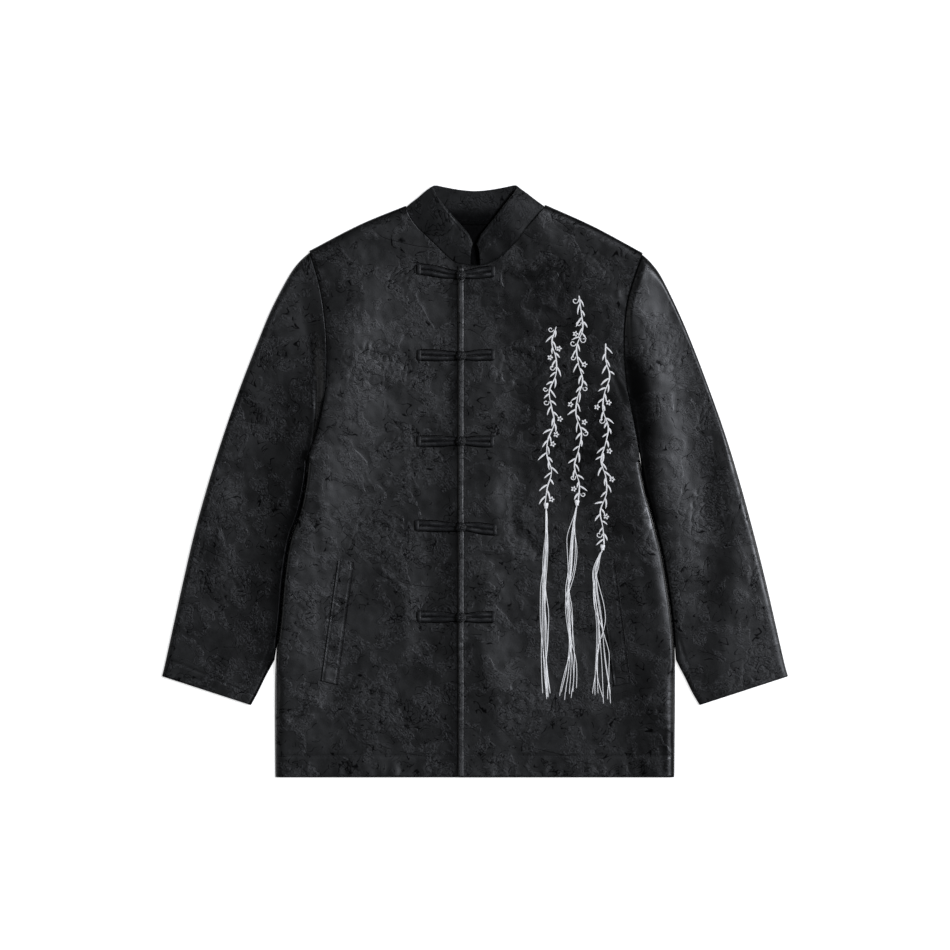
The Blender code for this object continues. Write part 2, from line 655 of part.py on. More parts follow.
def make_knot(name, x, y, base):
    """A Chinese ball knot as a squat ball with shallow lobes."""
    rise = KNOT_R * 0.62
    rings = []
    around = 14
    levels = 8
    for j in range(1, levels):
        tilt = math.pi * j / levels
        ring = []
        for i in range(around):
            turn = 2.0 * math.pi * i / around
            lobe = 1.0 + 0.07 * math.cos(4.0 * turn + 2.2 * tilt)
            r = KNOT_R * math.sin(tilt) * lobe * 0.93
            ring.append((x + r * math.cos(turn), y + r * math.sin(turn),
                         base + rise - rise * math.cos(tilt)))
        rings.append(ring)
    return swept(name, rings, material(name, "satin_piping"))


def make_edge_roll(trees, x, y_top):
    """The rolled front edge, a narrow half round strip down the overlapping front."""
    half = EDGE_ROLL_W / 2
    count = 40
    rings = []
    for k in range(count + 1):
        y = y_top + (HEM_Y + 0.6 - y_top) * k / count
        base = surface(trees, x, y, 2.0) + REST_GAP
        profile = [(-1.0, 0.0), (-0.86, 0.55), (-0.4, 1.0), (0.4, 1.0), (0.86, 0.55),
                   (1.0, 0.0)]
        rings.append([(x + half * a, y, base + EDGE_ROLL_RISE * z) for a, z in profile])
    return swept("front_edge_roll", rings, material("front_edge_roll", "jacquard"))


def make_welt(name, trees, corners):
    top_out, top_in, low_in, low_out = corners
    rings = []
    count = 9
    for k in range(count + 1):
        v = k / count
        a = [p + (q - p) * v for p, q in zip(top_out, low_out)]
        b = [p + (q - p) * v for p, q in zip(top_in, low_in)]
        ring_low, ring_high = [], []
        for u, rise in ((0.0, 0.55), (0.06, 1.0), (0.5, 1.0), (0.94, 1.0), (1.0, 0.55)):
            x = a[0] + (b[0] - a[0]) * u
            y = a[1] + (b[1] - a[1]) * u
            base = surface(trees, x, y, 2.0) + REST_GAP
            ring_low.append((x, y, base))
            ring_high.append((x, y, base + WELT_T * rise))
        rings.append(ring_low + list(reversed(ring_high)))
    return swept(name, rings, material(name, "jacquard"))


def make_tassel(name, trees, sections):
    """Loose threads fused to a flat head, drawn as a comb of four sided strands."""
    columns = THREADS_PER_LAYER
    root_y, root_x = sections[0][0], sections[0][2]
    xs = []
    for k in range(columns):
        centre = root_x + (k - (columns - 1) / 2) * THREAD_PITCH
        xs += [centre - THREAD / 2, centre + THREAD / 2]
    base = surface(trees, root_x, root_y + 2.0, 6.0) + REST_GAP + 0.25
    zs = [base, base + THREAD, base + THREAD_PITCH, base + THREAD_PITCH + THREAD]
    verts = [(x, root_y, z) for z in zs for x in xs]
    n = len(xs)
    faces = []
    cells = []
    for j in range(len(zs) - 1):
        for i in range(n - 1):
            quad = (j * n + i, j * n + i + 1, (j + 1) * n + i + 1, (j + 1) * n + i)
            if i % 2 == 0 and j % 2 == 0:
                cells.append((quad, i // 2, j // 2))
            else:
                faces.append(quad)
    # head block
    head = 5.0
    corner = [0, n - 1, (len(zs) - 1) * n + n - 1, (len(zs) - 1) * n]
    top = []
    for c in corner:
        x, y, z = verts[c]
        top.append(len(verts))
        shrink = 0.7
        verts.append((root_x + (x - root_x) * shrink, root_y + head, z))
    faces.append(tuple(top))
    rim = [[i for i in range(n)],
           [j * n + n - 1 for j in range(len(zs))],
           [(len(zs) - 1) * n + i for i in reversed(range(n))],
           [j * n for j in reversed(range(len(zs)))]]
    for k in range(4):
        faces.append(tuple(rim[k]) + (top[(k + 1) % 4], top[k]))
    # threads
    for quad, col, layer in cells:
        f = col / (columns - 1)
        previous = quad
        x_start = sum(verts[q][0] for q in quad) / 4
        wobble = math.sin(2.1 * col + 3.7 * layer)
        for k, (y, xl, xm, xr) in enumerate(sections[1:]):
            if f < 0.5:
                x = xl + (xm - xl) * f * 2.0
            else:
                x = xm + (xr - xm) * (f - 0.5) * 2.0
            if k == len(sections) - 2:
                y += 3.0 * wobble
            x0, y0 = verts[previous[0]][0], verts[previous[0]][1]
            path = [(x + (x0 - x) * t, y + (y0 - y) * t) for t in (0.0, 0.2, 0.4, 0.6)]
            path += [(x, y - 5.0), (x, y - 10.0), (x, y - 15.0)]
            z = max(surface(trees, px, py, 2.0) for px, py in path)
            z += REST_GAP + 0.4 + layer * (THREAD_PITCH + 0.1)
            ring = []
            for q in quad:
                qx, _, qz = verts[q]
                ring.append(len(verts))
                verts.append((x + qx - x_start, y, z + (qz - verts[quad[0]][2])))
            for m in range(4):
                faces.append((previous[m], previous[(m + 1) % 4], ring[(m + 1) % 4], ring[m]))
            previous = ring
        faces.append(tuple(reversed(previous)))
    return add_object(name, verts, faces, material(name, "white_thread"), False)


def main():
    for obj in list(bpy.data.objects):
        bpy.data.objects.remove(obj)
    make_back()
    under = make_front("right_front", RIGHT, over=False)
    over = make_front("left_front", LEFT, over=True)
    make_sleeve("right_sleeve", RIGHT)
    make_sleeve("left_sleeve", LEFT)
    make_collar()
    under_tree, over_tree = tree_of(under), tree_of(over)
    roll_x = LEFT["front"][0][0] + 0.8 + EDGE_ROLL_W / 2
    roll = make_edge_roll([over_tree], roll_x, 281.5)
    roll_tree = tree_of(roll)
    for k, (y, yl0, yl1, yr0, yr1, x_left, x_right) in enumerate(FROGS, start=1):
        tag = "frog_" + str(k)
        make_strap(tag + "_loop_strap", [under_tree], x_left, yl0, -22.95, yl1)
        make_strap(tag + "_knot_strap", [over_tree], x_right, yr0, -14.5, yr1)
        top = surface([roll_tree, over_tree], -18.6, y, 3.0)
        make_knot(tag + "_knot", -18.6, y, top + REST_GAP - 0.2)
    make_welt("right_pocket_welt", [under_tree], WELTS["right"])
    left_welt = make_welt("left_pocket_welt", [over_tree], WELTS["left"])
    trees = [over_tree, tree_of(left_welt)]
    for key, sections in TASSELS.items():
        make_tassel("tassel_" + key, trees, sections)


main()
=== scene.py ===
"""Tang jacket, laid flat: cloth, frogs, embroidery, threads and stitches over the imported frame.

Tables are in millimetres, meshes and properties in metres. +Y points to the collar,
-X is the wearer's right side, and the left front laps over the right front.
"""
import math

import bmesh
import bpy
import numpy as np
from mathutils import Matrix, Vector
from mathutils.bvhtree import BVHTree
from mathutils.kdtree import KDTree


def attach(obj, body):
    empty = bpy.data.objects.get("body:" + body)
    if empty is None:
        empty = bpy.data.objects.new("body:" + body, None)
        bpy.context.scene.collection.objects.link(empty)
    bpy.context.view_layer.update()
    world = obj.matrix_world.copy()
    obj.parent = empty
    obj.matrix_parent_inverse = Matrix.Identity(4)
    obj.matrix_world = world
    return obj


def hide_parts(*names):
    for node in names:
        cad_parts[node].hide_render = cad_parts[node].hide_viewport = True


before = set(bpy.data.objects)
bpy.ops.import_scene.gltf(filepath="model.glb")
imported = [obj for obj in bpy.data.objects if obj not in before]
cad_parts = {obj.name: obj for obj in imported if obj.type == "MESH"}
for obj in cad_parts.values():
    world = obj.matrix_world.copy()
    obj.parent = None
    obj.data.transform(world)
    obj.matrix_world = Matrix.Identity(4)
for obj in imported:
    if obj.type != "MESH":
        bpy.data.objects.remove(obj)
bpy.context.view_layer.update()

bl_info = {
    "name": "Tang jacket dressing",
    "version": (1, 0, 0),
    "blender": (4, 5, 0),
    "location": "View3D > Sidebar > Jacket",
    "description": "Builds the cloth, frogs, embroidery and threads of a laid out jacket",
    "category": "Object",
}

MM = 0.001
BODY = "root"

# stage (metres and a colour)
SENSOR_WIDTH = 36.0  # millimetres, as Blender counts it
CAMERA_Y = 0.0079
CLOTH_PLANE = 0.006  # height at which the picture's width is measured
FLOOR_Z = -0.0003
DAYLIGHT = (0.89, 0.92, 1.0)
WHITE = (1.0, 1.0, 1.0)

# ------------------------------------------------------------------- sizes (millimetres)
CLOTH_T = 1.8  # thickness of lined cloth
COLLAR_T = 2.2
WELT_T = 1.1
SEAM_GAP = 0.5  # air between two panels at a seam
REST_GAP = 0.35  # air under a piece that lies on another
RIM_BULGE = 0.35  # how far a cut edge is rounded, as a share of the thickness
EDGE_ROUND = 11.0  # width over which a folded edge turns down
EDGE_TIGHT = 3.0
HEM_Y = -390.7
HEM_STITCH_Y = -363.0
HEM_FADE = 110.0  # height over which the cloth flattens towards the hem
BODY_RISE = 5.6  # heights of the top layer's middle surface
SLEEVE_RISE = 4.6
HEM_RISE = 5.0
CUFF_RISE = 4.9
SLEEVE_MID = 2.7  # height at which a sleeve's top and under layer meet
LAP_STEP = 1.35
SLEEVE_LENGTH = 600.0
SLEEVE_LEAN = 17.5  # degrees that a sleeve hangs off the body's length
CUFF_STITCH = 24.0  # from the cuff's edge up to its stitch row
COLLAR_HEIGHT = 42.0
REPEAT_W = 194.0  # one repeat of the woven pattern
REPEAT_H = 224.0
RAY_FROM = 90.0  # height from which pieces are dropped on the cloth

KNOT_X = -18.6
KNOT_R = 6.4
KNOT_CORE = 4.3
KNOT_FLAT = 0.62  # height of a pressed ball knot over its width
STRAP_HALF = 7.0
STRAP_RISE = 2.3
LOOP_END_X = -22.95  # where the straps meet the ball knot
HOLD_END_X = -14.5
EDGE_ROLL_X = -18.3
EDGE_ROLL_W = 6.6
EDGE_ROLL_RISE = 1.1
THREADS = 8  # loose threads of a tassel
THREAD_R = 0.46
STITCH_LENGTH = 2.3
STITCH_R = 0.26
WELT_STITCH = 2.6  # inset of the stitch row round a welt
EDGE_STITCH_X = -12.6

# rows of points across and along each cloth
FRONT_GRID = (132, 384)
BACK_GRID = (71, 121)
SLEEVE_GRID = (84, 330)

# outline runs of the two halves; sign is 1 on the wearer's right, -1 on the left
RIGHT = {
    "shoulder": [(-91.1, 361.7), (-151.8, 336.6), (-217.8, 302.3)],
    "armhole": [(-217.8, 302.3), (-213.6, 287), (-207.4, 266), (-201.6, 238),
                (-197.3, 202), (-195.6, 163.7), (-197.3, 124.1), (-202.8, 90),
                (-211.9, 53.8), (-220.4, 27.7)],
    "side": [(-220.4, 27.7), (-224.4, -6), (-232.3, -42.9), (-244.8, -79.9),
             (-252.4, -129.4), (-257.4, -186.1), (-262.2, -232.3), (-263.6, -286.4),
             (-263.2, -390.7)],
    "outer": [(-217.8, 302.3), (-233, 288.1), (-247.2, 268), (-269.3, 225.7),
              (-286.9, 183.5), (-311.5, 120.1), (-333.5, 56.8), (-353.3, -6.6),
              (-370.9, -70), (-385.6, -133.3), (-399.6, -196.7), (-408.8, -238.9),
              (-413.2, -257.4)],
    "under": [(-264.6, -236.3), (-270.6, -247.4), (-277.4, -260), (-287.2, -280.2),
              (-295.7, -295.7)],
    "neck": [(-91.1, 361.7), (-87.1, 350.2), (-76.6, 335.3), (-60.1, 319.6),
             (-48.4, 308.6), (-37, 297.2), (-25.6, 288.4), (-8.6, 285.6), (3, 285.2)],
    "front": [(3, 285.2), (3, -390.7)],
    "sign": 1.0,
}
LEFT = {
    "shoulder": [(92.4, 363), (155.8, 334.4), (220.4, 299.6)],
    "armhole": [(220.4, 299.6), (213.8, 280.8), (205.6, 256.1), (199.6, 231),
                (196.7, 202), (196.4, 166.7), (198.9, 132), (203.3, 106.6),
                (208.6, 80.8), (213.6, 54.1), (217.8, 25.1)],
    "side": [(217.8, 25.1), (224.4, -9.2), (235, -47.9), (246.4, -93.8),
             (255.2, -145.2), (261.4, -196.3), (263.4, -232.3), (263.5, -289.1),
             (262.7, -390.7)],
    "outer": [(220.4, 299.6), (233.3, 287.1), (246.8, 268), (267.6, 225.7),
              (285.6, 183.5), (309.8, 120.1), (332, 56.8), (351.1, -6.6),
              (368.3, -70), (384.1, -133.3), (398.6, -196.7), (408.2, -238.9),
              (413.2, -257.4)],
    "under": [(265.2, -236.3), (270.3, -246.5), (277.4, -260), (286.6, -279),
              (296.3, -295.7)],
    "neck": [(92.4, 363), (87.9, 357.4), (79.2, 347.1), (67.5, 333.3), (58.4, 321.1),
             (47.8, 309.2), (34, 297), (19.8, 288.6), (3.3, 284.3), (-22.4, 283.1)],
    "front": [(-22.4, 283.1), (-22.4, -390.7)],
    "sign": -1.0,
}
# the back's neck seam, from the wearer's right to the left
BACK_NECK = [(-91.1, 361.7), (-72.6, 350.4), (-39.6, 342.3), (0, 339.9),
             (39.6, 342.5), (72.6, 351.1), (92.4, 363)]

# broad soft ridges of the top layer: crest as (x, y, rise), then its reach to -x and to +x
BODY_RIDGES = [
    ([(-166, 310, 0.6), (-178, 199, 3.4), (-196, 107, 5.8), (-213, 28, 6.6),
      (-229, -51, 6.6), (-245, -131, 6), (-255, -223, 4.8),
      (-259, -389, 2.8)], 38, 54),
    ([(-156, 296, 0.4), (-168, 240, 2.7), (-182, 180, 4.3), (-196, 107, 3.6),
      (-206, 50, 1.3)], 64, 112),
    ([(190, 150, 0.2), (197, 107, 1.2), (203, 28, 3.2), (218, -51, 4.6),
      (236, -131, 4.6), (248, -210, 4.2), (258, -262, 3.6),
      (266, -330, 3), (269, -389, 2.4)], 60, 26),
    ([(-22, 160, 0.1), (-22, 40, 0.7), (-22, -120, 1.8), (-22, -380, 1.4)],
     22, 130),
    ([(88, 362, 1.4), (78, 342, 2.8), (66, 324, 1.2)], 10, 36),
    ([(30, 20, 0.3), (24, -30, 1.3), (44, -84, 0.6)], 16, 22),
    ([(4, -190, 0.4), (22, -260, 1.6), (40, -340, 0.8)], 20, 46),
    ([(-94, -100, 0.3), (-92, -170, 1), (-94, -240, 0.4)], 16, 14),
]
SLEEVE_RIDGES = [
    ([(207, 296, 3.8), (211, 239, 4.6), (218, 185, 5.4), (230, 130, 5.5),
      (239, 80, 5.6), (242, 41, 5.9), (246, 0, 5.5), (257, -51, 4.6),
      (265, -104, 3.8), (269, -165, 2.4), (276, -230, 0.8)], 23, 38),
    ([(318, 80, 0.4), (328, 41, 1.6), (346, -60, 2.6), (340, -160, 3.6),
      (328, -250, 5)], 27, 50),
    ([(-198, 230, 0.1), (-200, 150, 2.4), (-204, 107, 4.6), (-216, 28, 7),
      (-228, -51, 7.4), (-246, -131, 6.4), (-259, -210, 3.6)], 40, 12),
    ([(-250, 280, 1.6), (-282, 199, 1.8), (-300, 130, 0.8)], 16, 44),
    ([(-330, 100, 0.6), (-366, -40, 1.8), (-394, -140, 1.9),
      (-410, -215, 1.4)], 14, 70),
]
BROAD_FOLDS = [
    # x0, y0, x1, y1, width, rise
    (-150, -210, -210, -330, 16, -0.8),
    (42, -50, 96, -108, 9, -0.8),
    (60, -20, 64, -80, 9, 0.5),
    (-180, -345, -142, -364, 12, -1.2),
    (120, -190, 160, -330, 22, 0.7),
]
# narrow creases and tucks
CREASES = [
    # x0, y0, x1, y1, width, rise
    (-213.8, 148, -213.8, 76, 3.2, 0.3),
    (-213.8, 76, -219.5, 34, 3.2, 0.3),
    (-208.5, 150, -208.5, 66, 2.4, -0.4),
    (-224, 40, -217, 24, 4.5, 1),
    (-132, -111, -90, -145, 2.6, 0.45),
    (-247, -320, -220, -288, 7, -0.6),
    (-290, -272, -264, -196, 1.6, -0.5),
    (-284, -268, -259, -200, 1.6, -0.4),
    (290, -272, 265, -196, 1.6, -0.5),
    (185, 144, 205, 107, 3.4, 0.3),
    (179, 150, 200, 98, 4, -0.35),
    (189, 254, 189.5, 240, 4.2, 0.7),
    (-30, 40, -34, -50, 9, 0.4),
    (-36, 150, -30, 70, 9, -0.4),
    (214, -90, 236, -200, 9, -0.5),
    (-240, -90, -250, -210, 9, 0.5),
    (-326, 40, -300, -40, 16, -0.6),
    (-340, -60, -330, -180, 18, 0.6),
    (318, 30, 300, -60, 16, -0.6),
    (352, -70, 336, -190, 18, 0.6),
    (-150, 300, -205, 262, 14, -0.5),
    (150, 300, 205, 262, 14, -0.5),
    (60, 240, 110, 232, 9, 0.4),
    (60, 226, 118, 218, 8, -0.4),
]

# the collar at places round it, from the right front past the back to the left front
COLLAR = [
    # seam x, y, z, rim x, y, z
    (-6.6, 291.2, 5.6, -5.3, 312, 12.6),
    (-15, 291.4, 6, -8, 322.5, 13.2),
    (-26.4, 294.6, 6.6, -13.6, 330.6, 13),
    (-38, 303.2, 6.9, -22.6, 341, 12.2),
    (-50.4, 315, 6.9, -33.2, 353.5, 11.2),
    (-62.6, 326.6, 6.8, -42.6, 365, 10.2),
    (-74.6, 338.8, 6.2, -49.8, 374.4, 9.2),
    (-84.6, 351.4, 5.3, -54.2, 383, 7.8),
    (-89.8, 362, 3.6, -56.4, 388.6, 4.8),
    (-84, 360.4, 1.5, -51.4, 389.8, 1.8),
    (-71, 353.8, 1.1, -41, 387.6, 1.1),
    (-39, 344.6, 1.1, -20.6, 383.9, 1.1),
    (0, 341.9, 1.1, 0, 382.2, 1.1),
    (39, 344.8, 1.1, 20.6, 383.9, 1.1),
    (71, 354.6, 1.1, 41, 387.6, 1.1),
    (85, 361.6, 1.5, 51.4, 389.8, 1.8),
    (91, 363.2, 3.6, 56.4, 388.6, 4.8),
    (86, 354.8, 5.3, 53.6, 383, 8.2),
    (75.4, 342.6, 6.2, 46.6, 373.4, 10.2),
    (63.8, 328.8, 6.8, 38.2, 363, 11.4),
    (54.4, 316.6, 6.9, 29, 350.6, 12),
    (43, 304.8, 6.9, 20.4, 339.4, 12.6),
    (31, 296.2, 7.2, 13.4, 330, 13.4),
    (17, 290.6, 7.6, 8, 322, 14.2),
    (6.4, 288.6, 7.9, 5.4, 311, 13.8),
]

FROGS = [
    # knot y, then y of the straps: left_out, left_in, right_out, right_in; x_left, x_right
    (271.6, 279.6, 272.6, 276.6, 272.6, -77, 26.6),
    (165.2, 166.4, 165.2, 166.6, 165.2, -76.6, 26.4),
    (52.6, 52.4, 52.6, 52, 52.6, -76.8, 25.4),
    (-61, -58.6, -61, -64.4, -60.4, -79.4, 28.8),
    (-180.2, -178.8, -180.2, -179.6, -180.2, -76.6, 27),
]
# corners of the pocket welts
WELTS = {
    "right": [(-181, -105.2), (-159.4, -107), (-181.2, -269.4), (-203.4, -263.8)],
    "left": [(161, -107), (184.4, -102), (205.6, -266.4), (183.4, -271)],
}

# a tassel's threads on their way down: y, then x of its left side, middle and right side
TASSELS = {
    "inner": [(-33, 92.9, 93.7, 94.5), (-80, 90.2, 94.6, 99.6),
              (-140, 86.2, 90.6, 95), (-172, 86.4, 90.8, 95.4),
              (-222, 86.2, 90.4, 94.8), (-262, 87.4, 92, 97.6),
              (-281, 88.4, 94.4, 101)],
    "middle": [(-29, 133.8, 134.6, 135.4), (-72, 124.6, 128.2, 131.6),
               (-120, 121.6, 125.8, 130.2), (-146, 117.6, 121.8, 126.2),
               (-184, 121.4, 125.6, 130), (-222, 122.6, 127.2, 132.2),
               (-256, 119.2, 125, 131.8), (-282, 112.8, 121.4, 130.2)],
    "outer": [(-88, 167.6, 168.4, 169.2), (-114, 155.6, 159, 162.6),
              (-142, 152.8, 158.2, 164.2), (-166, 153.8, 161.6, 169.6),
              (-192, 154.6, 165.2, 176.4), (-224, 153.4, 166.4, 180.4),
              (-254, 153.6, 167.2, 184.4), (-288, 154.2, 168.8, 190.6)],
}
# one embroidered sprig above each tassel
SPRIGS = [
    # x_top, y_top, x_low, y_low, seed
    (107, 204, 94.2, -30, 3),
    (139, 245, 135, -26, 11),
    (174, 182, 168.6, -84, 23),
]

TOPS = {}  # search trees of the finished cloth, filled as the pieces are built


# ----------------------------------------------------------------------- curve helpers
def smooth(low, high, value):
    """From 0 at low to 1 at high, with a soft start and a soft end."""
    t = np.clip((np.asarray(value, dtype=float) - low) / (high - low), 0.0, 1.0)
    return t * t * (3.0 - 2.0 * t)


def fade(low, high, value):
    """From 1 at low to 0 at high."""
    return 1.0 - smooth(low, high, value)


def bell(distance, width):
    """1 at no distance, falling softly to 0 past the width."""
    return np.exp(-(distance / width) ** 2)


def unit(v):
    """Vectors of the same heading, one long."""
    return v / np.maximum(np.linalg.norm(v, axis=-1, keepdims=True), 1e-9)


def circle(count):
    """Angles once round."""
    return np.linspace(0.0, 2 * math.pi, count, endpoint=False)


def distances(points):
    """Length of a run up to each of its points."""
    return np.concatenate([[0.0], np.cumsum(np.linalg.norm(np.diff(points, axis=0), axis=1))])


def upwards(rows):
    """A straight-up normal for each point."""
    return np.zeros_like(rows) + (0.0, 0.0, 1.0)


def headings(points):
    """Heading of a run at each of its points, from the points beside it."""
    step = np.empty_like(points)
    step[1:-1] = points[2:] - points[:-2]
    step[0], step[-1] = points[1] - points[0], points[-1] - points[-2]
    return unit(step)


def catmull(points, steps=10):
    """A smooth run through the points."""
    p = np.asarray(points, dtype=float)
    if len(p) < 3:
        return p
    p = np.vstack([2 * p[0] - p[1], p, 2 * p[-1] - p[-2]])
    out = []
    for k in range(1, len(p) - 2):
        a, b, c, d = p[k - 1:k + 3]
        for t in np.arange(steps) / steps:
            out.append(0.5 * (2 * b + (c - a) * t + (2 * a - 5 * b + 4 * c - d) * t * t
                              + (3 * b - a - 3 * c + d) * t ** 3))
    out.append(p[-2])
    return np.array(out)


def at_fractions(points, fractions):
    """Points of a run at the given shares of its length."""
    p = np.asarray(points, dtype=float)
    done = distances(p)
    want = np.clip(np.asarray(fractions, dtype=float), 0.0, 1.0) * done[-1]
    return np.stack([np.interp(want, done, p[:, k]) for k in range(p.shape[1])], axis=1)


def run_length(points):
    """Whole length of a run."""
    return float(np.linalg.norm(np.diff(np.asarray(points), axis=0), axis=1).sum())


def offset_run(points, amount):
    """A run moved to its left by the amount."""
    p = np.asarray(points, dtype=float)
    step = headings(p)
    return p + np.stack([-step[:, 1], step[:, 0]], axis=1) * amount


def nearest(x, y, chains):
    """Distance to the nearest outline run and the outward direction there."""
    shape = x.shape
    px, py = x.ravel(), y.ravel()
    best = np.full(px.shape, 1e9)
    ox, oy = np.zeros_like(px), np.zeros_like(py)
    for points, side in chains:
        for a, b in zip(points[:-1], points[1:]):
            dx, dy = b - a
            square = dx * dx + dy * dy
            t = np.clip(((px - a[0]) * dx + (py - a[1]) * dy) / square, 0.0, 1.0)
            vx, vy = a[0] + dx * t - px, a[1] + dy * t - py
            gap = np.hypot(vx, vy)
            size = math.sqrt(square)
            on = gap < 0.05
            safe = np.where(on, 1.0, gap)
            nx = np.where(on, -dy / size * side, vx / safe)
            ny = np.where(on, dx / size * side, vy / safe)
            closer = gap < best - 1e-6
            best = np.where(closer, gap, best)
            ox, oy = np.where(closer, nx, ox), np.where(closer, ny, oy)
    return best.reshape(shape), ox.reshape(shape), oy.reshape(shape)


def along(runs, breaks, fractions):
    """Points down several runs in turn; a corner falls on each break."""
    fractions = np.asarray(fractions)
    out = np.zeros((len(fractions), 2))
    for k, run in enumerate(runs):
        low, high = breaks[k], breaks[k + 1]
        pick = (fractions >= low - 1e-9) & (fractions <= high + 1e-9)
        out[pick] = at_fractions(run, (fractions[pick] - low) / (high - low))
    return out


def stations(length, count, near=False, far=False, fixed=()):
    """Fractions of a length, even but for closer ones over a rounded end."""
    end = EDGE_ROUND * 1.15 * (1.0 - np.cos(np.linspace(0.0, math.pi / 2, 9)))
    run = np.linspace(end[-1] if near else 0.0, length - (end[-1] if far else 0.0), count + 1)
    if near:
        run = np.concatenate([end[:-1], run])
    if far:
        run = np.concatenate([run, (length - end[:-1])[::-1]])
    run = run / length
    for value in fixed:
        run[np.argmin(np.abs(run - value))] = value
    return run


def polar(cx, cy, radius, turn, squash=1.0):
    """Points round a centre at the given angles."""
    return np.stack([cx + radius * np.cos(turn), cy + radius * squash * np.sin(turn)], axis=1)


def ripple(x, y, size, seed, count=9):
    """Soft seeded unevenness with bumps of about the given size, from -1 to 1."""
    rng = np.random.default_rng(seed)
    total = np.zeros(np.broadcast(x, y).shape)
    for _ in range(count):
        turn = rng.uniform(0.0, math.pi)
        pace = 2 * math.pi / (size * rng.uniform(0.7, 1.6))
        total += np.sin((x * math.cos(turn) + y * math.sin(turn)) * pace
                        + rng.uniform(0.0, 6.28))
    return total / (count * 0.5)


# --------------------------------------------------------------------- cloth surfaces
def folds_at(x, y, table, keep_ends=0.25):
    """Rise of straight folds, which run out at both ends."""
    rise = np.zeros(np.broadcast(x, y).shape)
    for x0, y0, x1, y1, width, height in table:
        dx, dy = x1 - x0, y1 - y0
        t = np.clip(((x - x0) * dx + (y - y0) * dy) / (dx * dx + dy * dy), 0.0, 1.0)
        gap = np.hypot(x - x0 - dx * t, y - y0 - dy * t)
        ends = smooth(0.0, 0.25, t) * fade(0.75, 1.0, t)
        rise += height * (keep_ends + (1 - keep_ends) * ends) * bell(gap, width)
    return rise


def ridges_at(x, y, table):
    """Rise of curved ridges, each with its own reach to either side."""
    total = np.zeros(np.broadcast(x, y).shape)
    for points, left, right in table:
        run = catmull(points, 5)
        best = np.full(total.shape, 1e9)
        side, rise = np.zeros(total.shape), np.zeros(total.shape)
        for a, b in zip(run[:-1], run[1:]):
            dx, dy = b[:2] - a[:2]
            t = np.clip(((x - a[0]) * dx + (y - a[1]) * dy) / (dx * dx + dy * dy), 0.0, 1.0)
            vx, vy = x - a[0] - dx * t, y - a[1] - dy * t
            gap = np.hypot(vx, vy)
            closer = gap < best
            best = np.where(closer, gap, best)
            side = np.where(closer, vx, side)
            rise = np.where(closer, a[2] + (b[2] - a[2]) * t, rise)
        width = right + (left - right) * (0.5 - 0.5 * np.tanh(side / 5.0))
        total += rise * bell(best, width)
    return total


def top_height(x, y, base=BODY_RISE, table=BODY_RIDGES):
    """Middle surface of the top cloth layer, away from its folded edges."""
    full = smooth(HEM_Y, HEM_Y + HEM_FADE, y)
    rise = HEM_RISE + (base - HEM_RISE) * full
    rise = rise + ridges_at(x, y, table) * (0.4 + 0.6 * full)
    rise = rise + folds_at(x, y, BROAD_FOLDS) * full
    rise = rise + folds_at(x, y, CREASES, 0.0) * 1.1
    return rise + 0.26 * ripple(x, y, 60.0, 5) * full + 0.08 * ripple(x, y, 17.0, 8)


def rounded(height, low, gap, ox, oy, width=EDGE_ROUND):
    """Quarter-round drop of a layer to its folded edge, with its normals."""
    run = np.clip(1.0 - gap / width, 0.0, 1.0)
    lift = np.sqrt(np.maximum(0.0, 1.0 - run * run))
    rise = height - low
    up = lift / np.maximum(np.abs(rise), 0.5) * np.sign(rise)
    normal = np.stack([ox * run / width, oy * run / width, up], axis=-1)
    normal /= np.linalg.norm(normal, axis=-1, keepdims=True)
    return low + rise * lift, normal


def coons(b, t, lf, rt, across, up):
    """Plan of a four-sided piece from its bottom, top, left and right runs."""
    u, v = across[None, :, None], up[:, None, None]
    ruled = (1 - v) * b[None] + v * t[None] + (1 - u) * lf[:, None] + u * rt[:, None]
    return ruled - ((1 - u) * (1 - v) * b[0] + u * (1 - v) * b[-1]
                    + (1 - u) * v * t[0] + u * v * t[-1])


# ------------------------------------------------------------------- charted jacquard
CHART_PEONIES = [
    # x, y, radius, turn
    (58, 150, 40, 12), (152, 52, 31, 40), (168, 168, 17, 70),
]
CHART_LEAVES = [
    # x, y, turn, length, width, bend
    (100, 124, 8, 46, 14, 0.5), (100, 124, 38, 50, 13, -0.4),
    (100, 124, 68, 42, 12, 0.5), (100, 124, -24, 40, 12, -0.5),
    (120, 66, 200, 48, 14, 0.5), (120, 66, 232, 46, 13, -0.4),
    (120, 66, 262, 40, 12, 0.4), (120, 66, 170, 36, 11, -0.4),
    (30, 60, 118, 40, 12, 0.5), (30, 60, 90, 34, 11, -0.5),
    (30, 60, 150, 34, 11, 0.4),
]
CHART_SCROLLS = [
    # x, y, radius, turn, way round
    (18, 30, 11, 20, 1), (34, 22, 8, 200, -1),
    (96, 200, 12, 300, 1), (116, 208, 8, 120, -1),
    (176, 110, 11, 60, -1), (158, 112, 8, 240, 1),
    (82, 34, 9, 80, 1), (12, 98, 8, 10, -1),
]
CHART_STEMS = [
    [(58, 110), (72, 98), (92, 92), (118, 86), (140, 84)],
    [(20, 176), (8, 190), (-8, 200), (-26, 196)],
    [(186, 60), (200, 74), (214, 78), (224, 70)],
]


